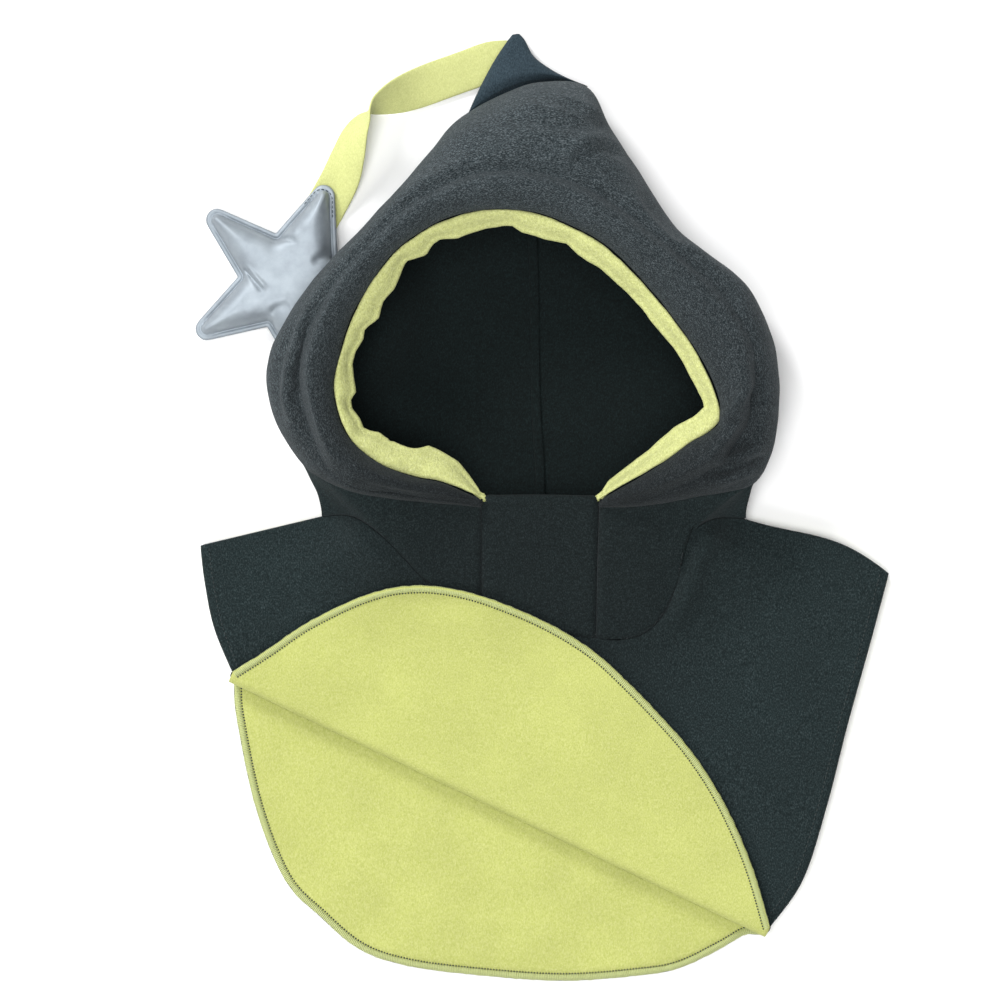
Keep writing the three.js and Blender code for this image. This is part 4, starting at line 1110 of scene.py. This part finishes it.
STAR_EDGES = star_edges()
EDGE_POINTS = np.vstack(STAR_EDGES)
EDGE_ANGLES = np.arctan2(EDGE_POINTS[:, 1], EDGE_POINTS[:, 0])
EDGE_REACH = np.linalg.norm(EDGE_POINTS, axis=1)


def star_radius(angle):
    """How far the star's outline is from its middle, that way."""
    return np.interp(angle, EDGE_ANGLES, EDGE_REACH, period=2 * math.pi)


def star_plan(angles, shares):
    """Plan positions at shares of the way from the star's centre to its outline, a row for each angle."""
    reach = np.outer(star_radius(angles), shares)
    across = np.stack([np.cos(angles), np.sin(angles)], axis=-1)
    return STAR_CENTRE + reach[..., None] * across[:, None, :]


STAR_OUTLINE = star_plan(np.linspace(0, 2 * math.pi, 721), [1.0])[:, 0]


def from_outline(plan):
    """How far plan positions are from the star's outline."""
    return distance_to_line(plan, STAR_OUTLINE)


def from_edges(plan):
    """The same, but rounded where two edges are equally far, so that the padding has no ridges."""
    distances = [np.maximum(distance_to_line(plan - STAR_CENTRE, edge), 0.05) for edge in STAR_EDGES]
    return sum(away ** -EDGE_SHARPNESS for away in distances) ** (-1 / EDGE_SHARPNESS)


def star_lift(plan):
    """The arm that holds the ribbon lies on it."""
    along = (plan - STAR_CENTRE) @ direction(STAR_TURN)
    return ARM_LIFT * smooth((along - 8) / 24)


def padding(away):
    """Share of the star's full thickness: none on the sewn rim, then a quick round rise."""
    return np.sin(0.5 * math.pi * np.clip((away - STAR_RIM) / PAD_REACH, 0, 1)) ** PAD_ROUNDNESS


def rim_height(away):
    """The rim: flat, rounded off at its edge, with a groove where the stitches draw it in."""
    groove = np.exp(-(((away - STITCH_LINE) / 0.8) ** 2))
    return PANEL_RIM * (1 - np.exp(-away / 0.5)) + 0.25 - 0.7 * groove


def star_panel(name, plan, top, bottom, node):
    lift = star_lift(plan)
    upper = np.dstack([plan, top + lift])
    lower = np.dstack([plan, bottom + lift])
    sheet = Sheet()
    sheet.grid(upper.tolist())
    sheet.grid(lower[:, ::-1].tolist())
    sheet.grid(np.stack([upper[:, -1], lower[:, -1]], axis=1).tolist())
    star = make_object(name, sheet.points, sheet.faces, SILVER)
    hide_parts(node)
    return star


def make_star():
    angles = np.linspace(0, 2 * math.pi, STAR_AROUND + 1)
    angles[-1] = 0
    plan = star_plan(angles, STAR_SHARES)
    away = from_outline(plan)
    pad = padding(np.minimum(away, 1.25 * from_edges(plan)))
    flat = np.column_stack([plan.reshape(-1, 2), np.zeros(plan.size // 2)])
    uneven = wander(flat, STAR_WAVES) + folded(flat, STAR_CREASES)
    front_top = SEW_HEIGHT + rim_height(away) + STAR_RISE * pad + uneven.reshape(pad.shape) * np.sqrt(pad)
    back_bottom = (SEW_HEIGHT - PANEL_RIM) * (1 - pad) ** 2
    level = np.full_like(pad, SEW_HEIGHT)
    front = star_panel("star_front_panel", plan, front_top, level + 0.15, "star_front")
    back = star_panel("star_back_panel", plan, level - 0.15, back_bottom, "star_back")
    return front, back


def make_star_stitches():
    """Dark thread on the rim of the arm that holds the ribbon."""
    angles = np.radians(np.linspace(*STAR_STITCHES, 120))
    rims = [1 - STITCH_LINE / star_radius(angle) for angle in angles]
    plan = np.array([star_plan([angle], [share])[0, 0] for angle, share in zip(angles, rims)])
    height = SEW_HEIGHT + rim_height(from_outline(plan)) + star_lift(plan) + 0.35
    return stitches("star_stitches", np.column_stack([plan, height]), GREY_THREAD, 1.9, 2.5, 0.5, 0.4)


# Hems

BINDING_REACH = 3.0
BINDING_STEP = 0.95


def top_of_lining(piece, line, inward, reach, lift):
    """Points on a lining's upper side, beside its hem."""
    tree = BVHTree.FromObject(piece, bpy.context.evaluated_depsgraph_get())
    points = []
    for x, y in line[:, :2] + inward * reach:
        hit = tree.ray_cast(Vector((x * MM, y * MM, 0.2)), Vector((0, 0, -1)))[0]
        points.append((x, y, (hit.z / MM if hit else points[-1][2] if points else CAPE_TOP) + lift))
    return np.array(points)


def overlock(name, piece, line, inward):
    """Threads that bind a raw edge, each across it, with a little unevenness."""
    along = lengths_along(line[:, :2])
    places = (np.arange(int(along[-1] / BINDING_STEP)) + 0.5) * BINDING_STEP
    base = at_lengths(places, along, line[:, :2])
    ways = unit(at_lengths(places, along, inward))
    heights = top_of_lining(piece, base, ways, 0.5 * BINDING_REACH, 0.0)[:, 2]
    threads = []
    for start, way, top in zip(base, ways, heights):
        uneven = noise.noise(Vector((*start, 1.0)) / 3)
        slant = way + np.array([-way[1], way[0]]) * (0.35 + 0.3 * uneven) * 0.3
        thread = [
            (*(start + slant * (-0.5 - 0.35 * uneven)), top - 0.9),
            (*(start + slant * 0.35 * BINDING_REACH), top + 0.35),
            (*(start + slant * (BINDING_REACH + 0.3 * uneven)), top + 0.1),
        ]
        threads.append(tube_along(thread, BINDING_STEP * 0.92, 0.62, around=6))
    return loft(name, threads, LIME_THREAD)


def inward_of(line, towards):
    """The way across a hem, to the side where a given point is."""
    way = unit(np.gradient(line[:, :2], axis=0))
    across = np.column_stack([-way[:, 1], way[:, 0]])
    middle = np.array(towards) - line[len(line) // 2, :2]
    return across if across[len(line) // 2] @ middle > 0 else -across


HEM_STITCH = 3.5
SIDE_STITCH = 4.0
INSIDE_HEMS = (-20, -150)
BELOW_FOLD = -88


def make_hem(name, piece, line):
    inward = inward_of(line, INSIDE_HEMS)
    binding = overlock(f"{name}_binding", piece, line, inward)
    stitched = top_of_lining(piece, line, inward, HEM_STITCH, 0.12)
    return [binding, stitches(f"{name}_stitches", stitched, DARK_THREAD, 1.0, 1.6, 0.8, 0.6)]


def make_side_stitches(name, piece, line, towards):
    line = evenly(line, 120)
    stitched = top_of_lining(piece, line, inward_of(line, towards), SIDE_STITCH, 0.08)
    return stitches(name, stitched, DARK_THREAD, 1.7, 2.6, 0.6, 0.45)


def make_centre_seam():
    """The seam allowance inside the hood, up the middle of its back."""
    back = [under_row(k)[0][-1] for k in range(0, MIDDLE - FIRST - 14, 6)]
    start = np.array([*BACK_NECK_MIDDLE, 0.0]) + (0, 2, 0)
    line = [mix(start, back[0], share) for share in (0, 0.33, 0.67)] + back
    line = evenly(np.array(line) + UP * (HOOD_CLOTH + 0.9), 160)
    return loft("centre_seam", [tube_along(line, 5.0, 1.7, around=14, power=0.7)], DARK_INSIDE_SHADED)


# Making

hood = make_hood()
insert = make_neck_insert()
band = make_trim()
tip = make_tip()
bib_front, bib_front_lining, flap_hem = make_cape_front()
neck_tape = make_neck_tape()
bib_back, bib_back_lining, back_line = make_cape_back()
ribbon = make_ribbon()
star_front, star_back = make_star()
star_seam = make_star_stitches()
centre_seam = make_centre_seam()
flap_hem_parts = make_hem("flap_hem", bib_front_lining, flap_hem)
back_hem_parts = make_hem("back_hem", bib_back_lining, back_line[back_line[:, 1] < BELOW_FOLD])
side_seams = [
    make_side_stitches("side_stitches_left", bib_front, SIDE_LEFT, (0, -60)),
    make_side_stitches("side_stitches_right", bib_front, SIDE_RIGHT, (0, -100)),
]

SLOTS = {
    "dark_fleece": [hood, insert, tip, bib_front, bib_back, neck_tape, centre_seam, *side_seams],
    "lime_fleece": [band, bib_front_lining, bib_back_lining, ribbon, *flap_hem_parts, *back_hem_parts],
    "silver_cloth": [star_front, star_back, star_seam],
}
for slot_name, slot_pieces in SLOTS.items():
    for slot_piece in slot_pieces:
        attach(slot_piece, "root")


# Floor, light and camera

FLOOR_HALF = 12000
FLOOR_LEVEL = -0.4
FLOOR_WHITE = (0.96, 0.96, 0.96, 1)


def make_floor():
    corners = [(x * FLOOR_HALF, y * FLOOR_HALF, FLOOR_LEVEL) for x, y in ((-1, -1), (1, -1), (1, 1), (-1, 1))]
    white = Surface("floor_white")
    white.finish(Base_Color=FLOOR_WHITE, Roughness=0.9, Specular_IOR_Level=0.1)
    make_object("floor", corners, [(0, 1, 2, 3)], white.material)


def make_light(name, at, size, power):
    """A round soft light that looks at the frame's origin."""
    light = bpy.data.lights.new(name, "AREA")
    light.shape = "DISK"
    light.size = size
    light.energy = power
    lamp = put_in_scene(name, light)
    lamp.location = at
    lamp.rotation_euler = (-Vector(at)).to_track_quat("-Z", "Y").to_euler()


def make_world(strength):
    world = bpy.data.worlds.new("studio")
    world.use_nodes = True
    background = world.node_tree.nodes["Background"]
    background.inputs["Color"].default_value = (1, 1, 1, 1)
    background.inputs["Strength"].default_value = strength
    bpy.context.scene.world = world


def make_camera():
    camera = bpy.data.cameras.new("camera")
    camera.sensor_width = SENSOR
    camera.lens = SENSOR * CAMERA_HEIGHT / PHOTO_WIDTH_ON_FLOOR
    camera.clip_start = 0.05
    camera.clip_end = 50
    eye = put_in_scene("camera", camera)
    eye.location = (*CAMERA_AT, CAMERA_HEIGHT)
    bpy.context.scene.camera = eye


make_floor()
make_world(0.3)
make_light("window", (-1.9, 2.7, 2.0), 1.1, 104)
make_light("ceiling", (-0.25, -0.2, 2.6), 2.0, 58)
make_light("fill", (-1.2, -2.5, 2.0), 1.4, 38)
make_camera()
bpy.context.scene.view_settings.view_transform = "Standard"
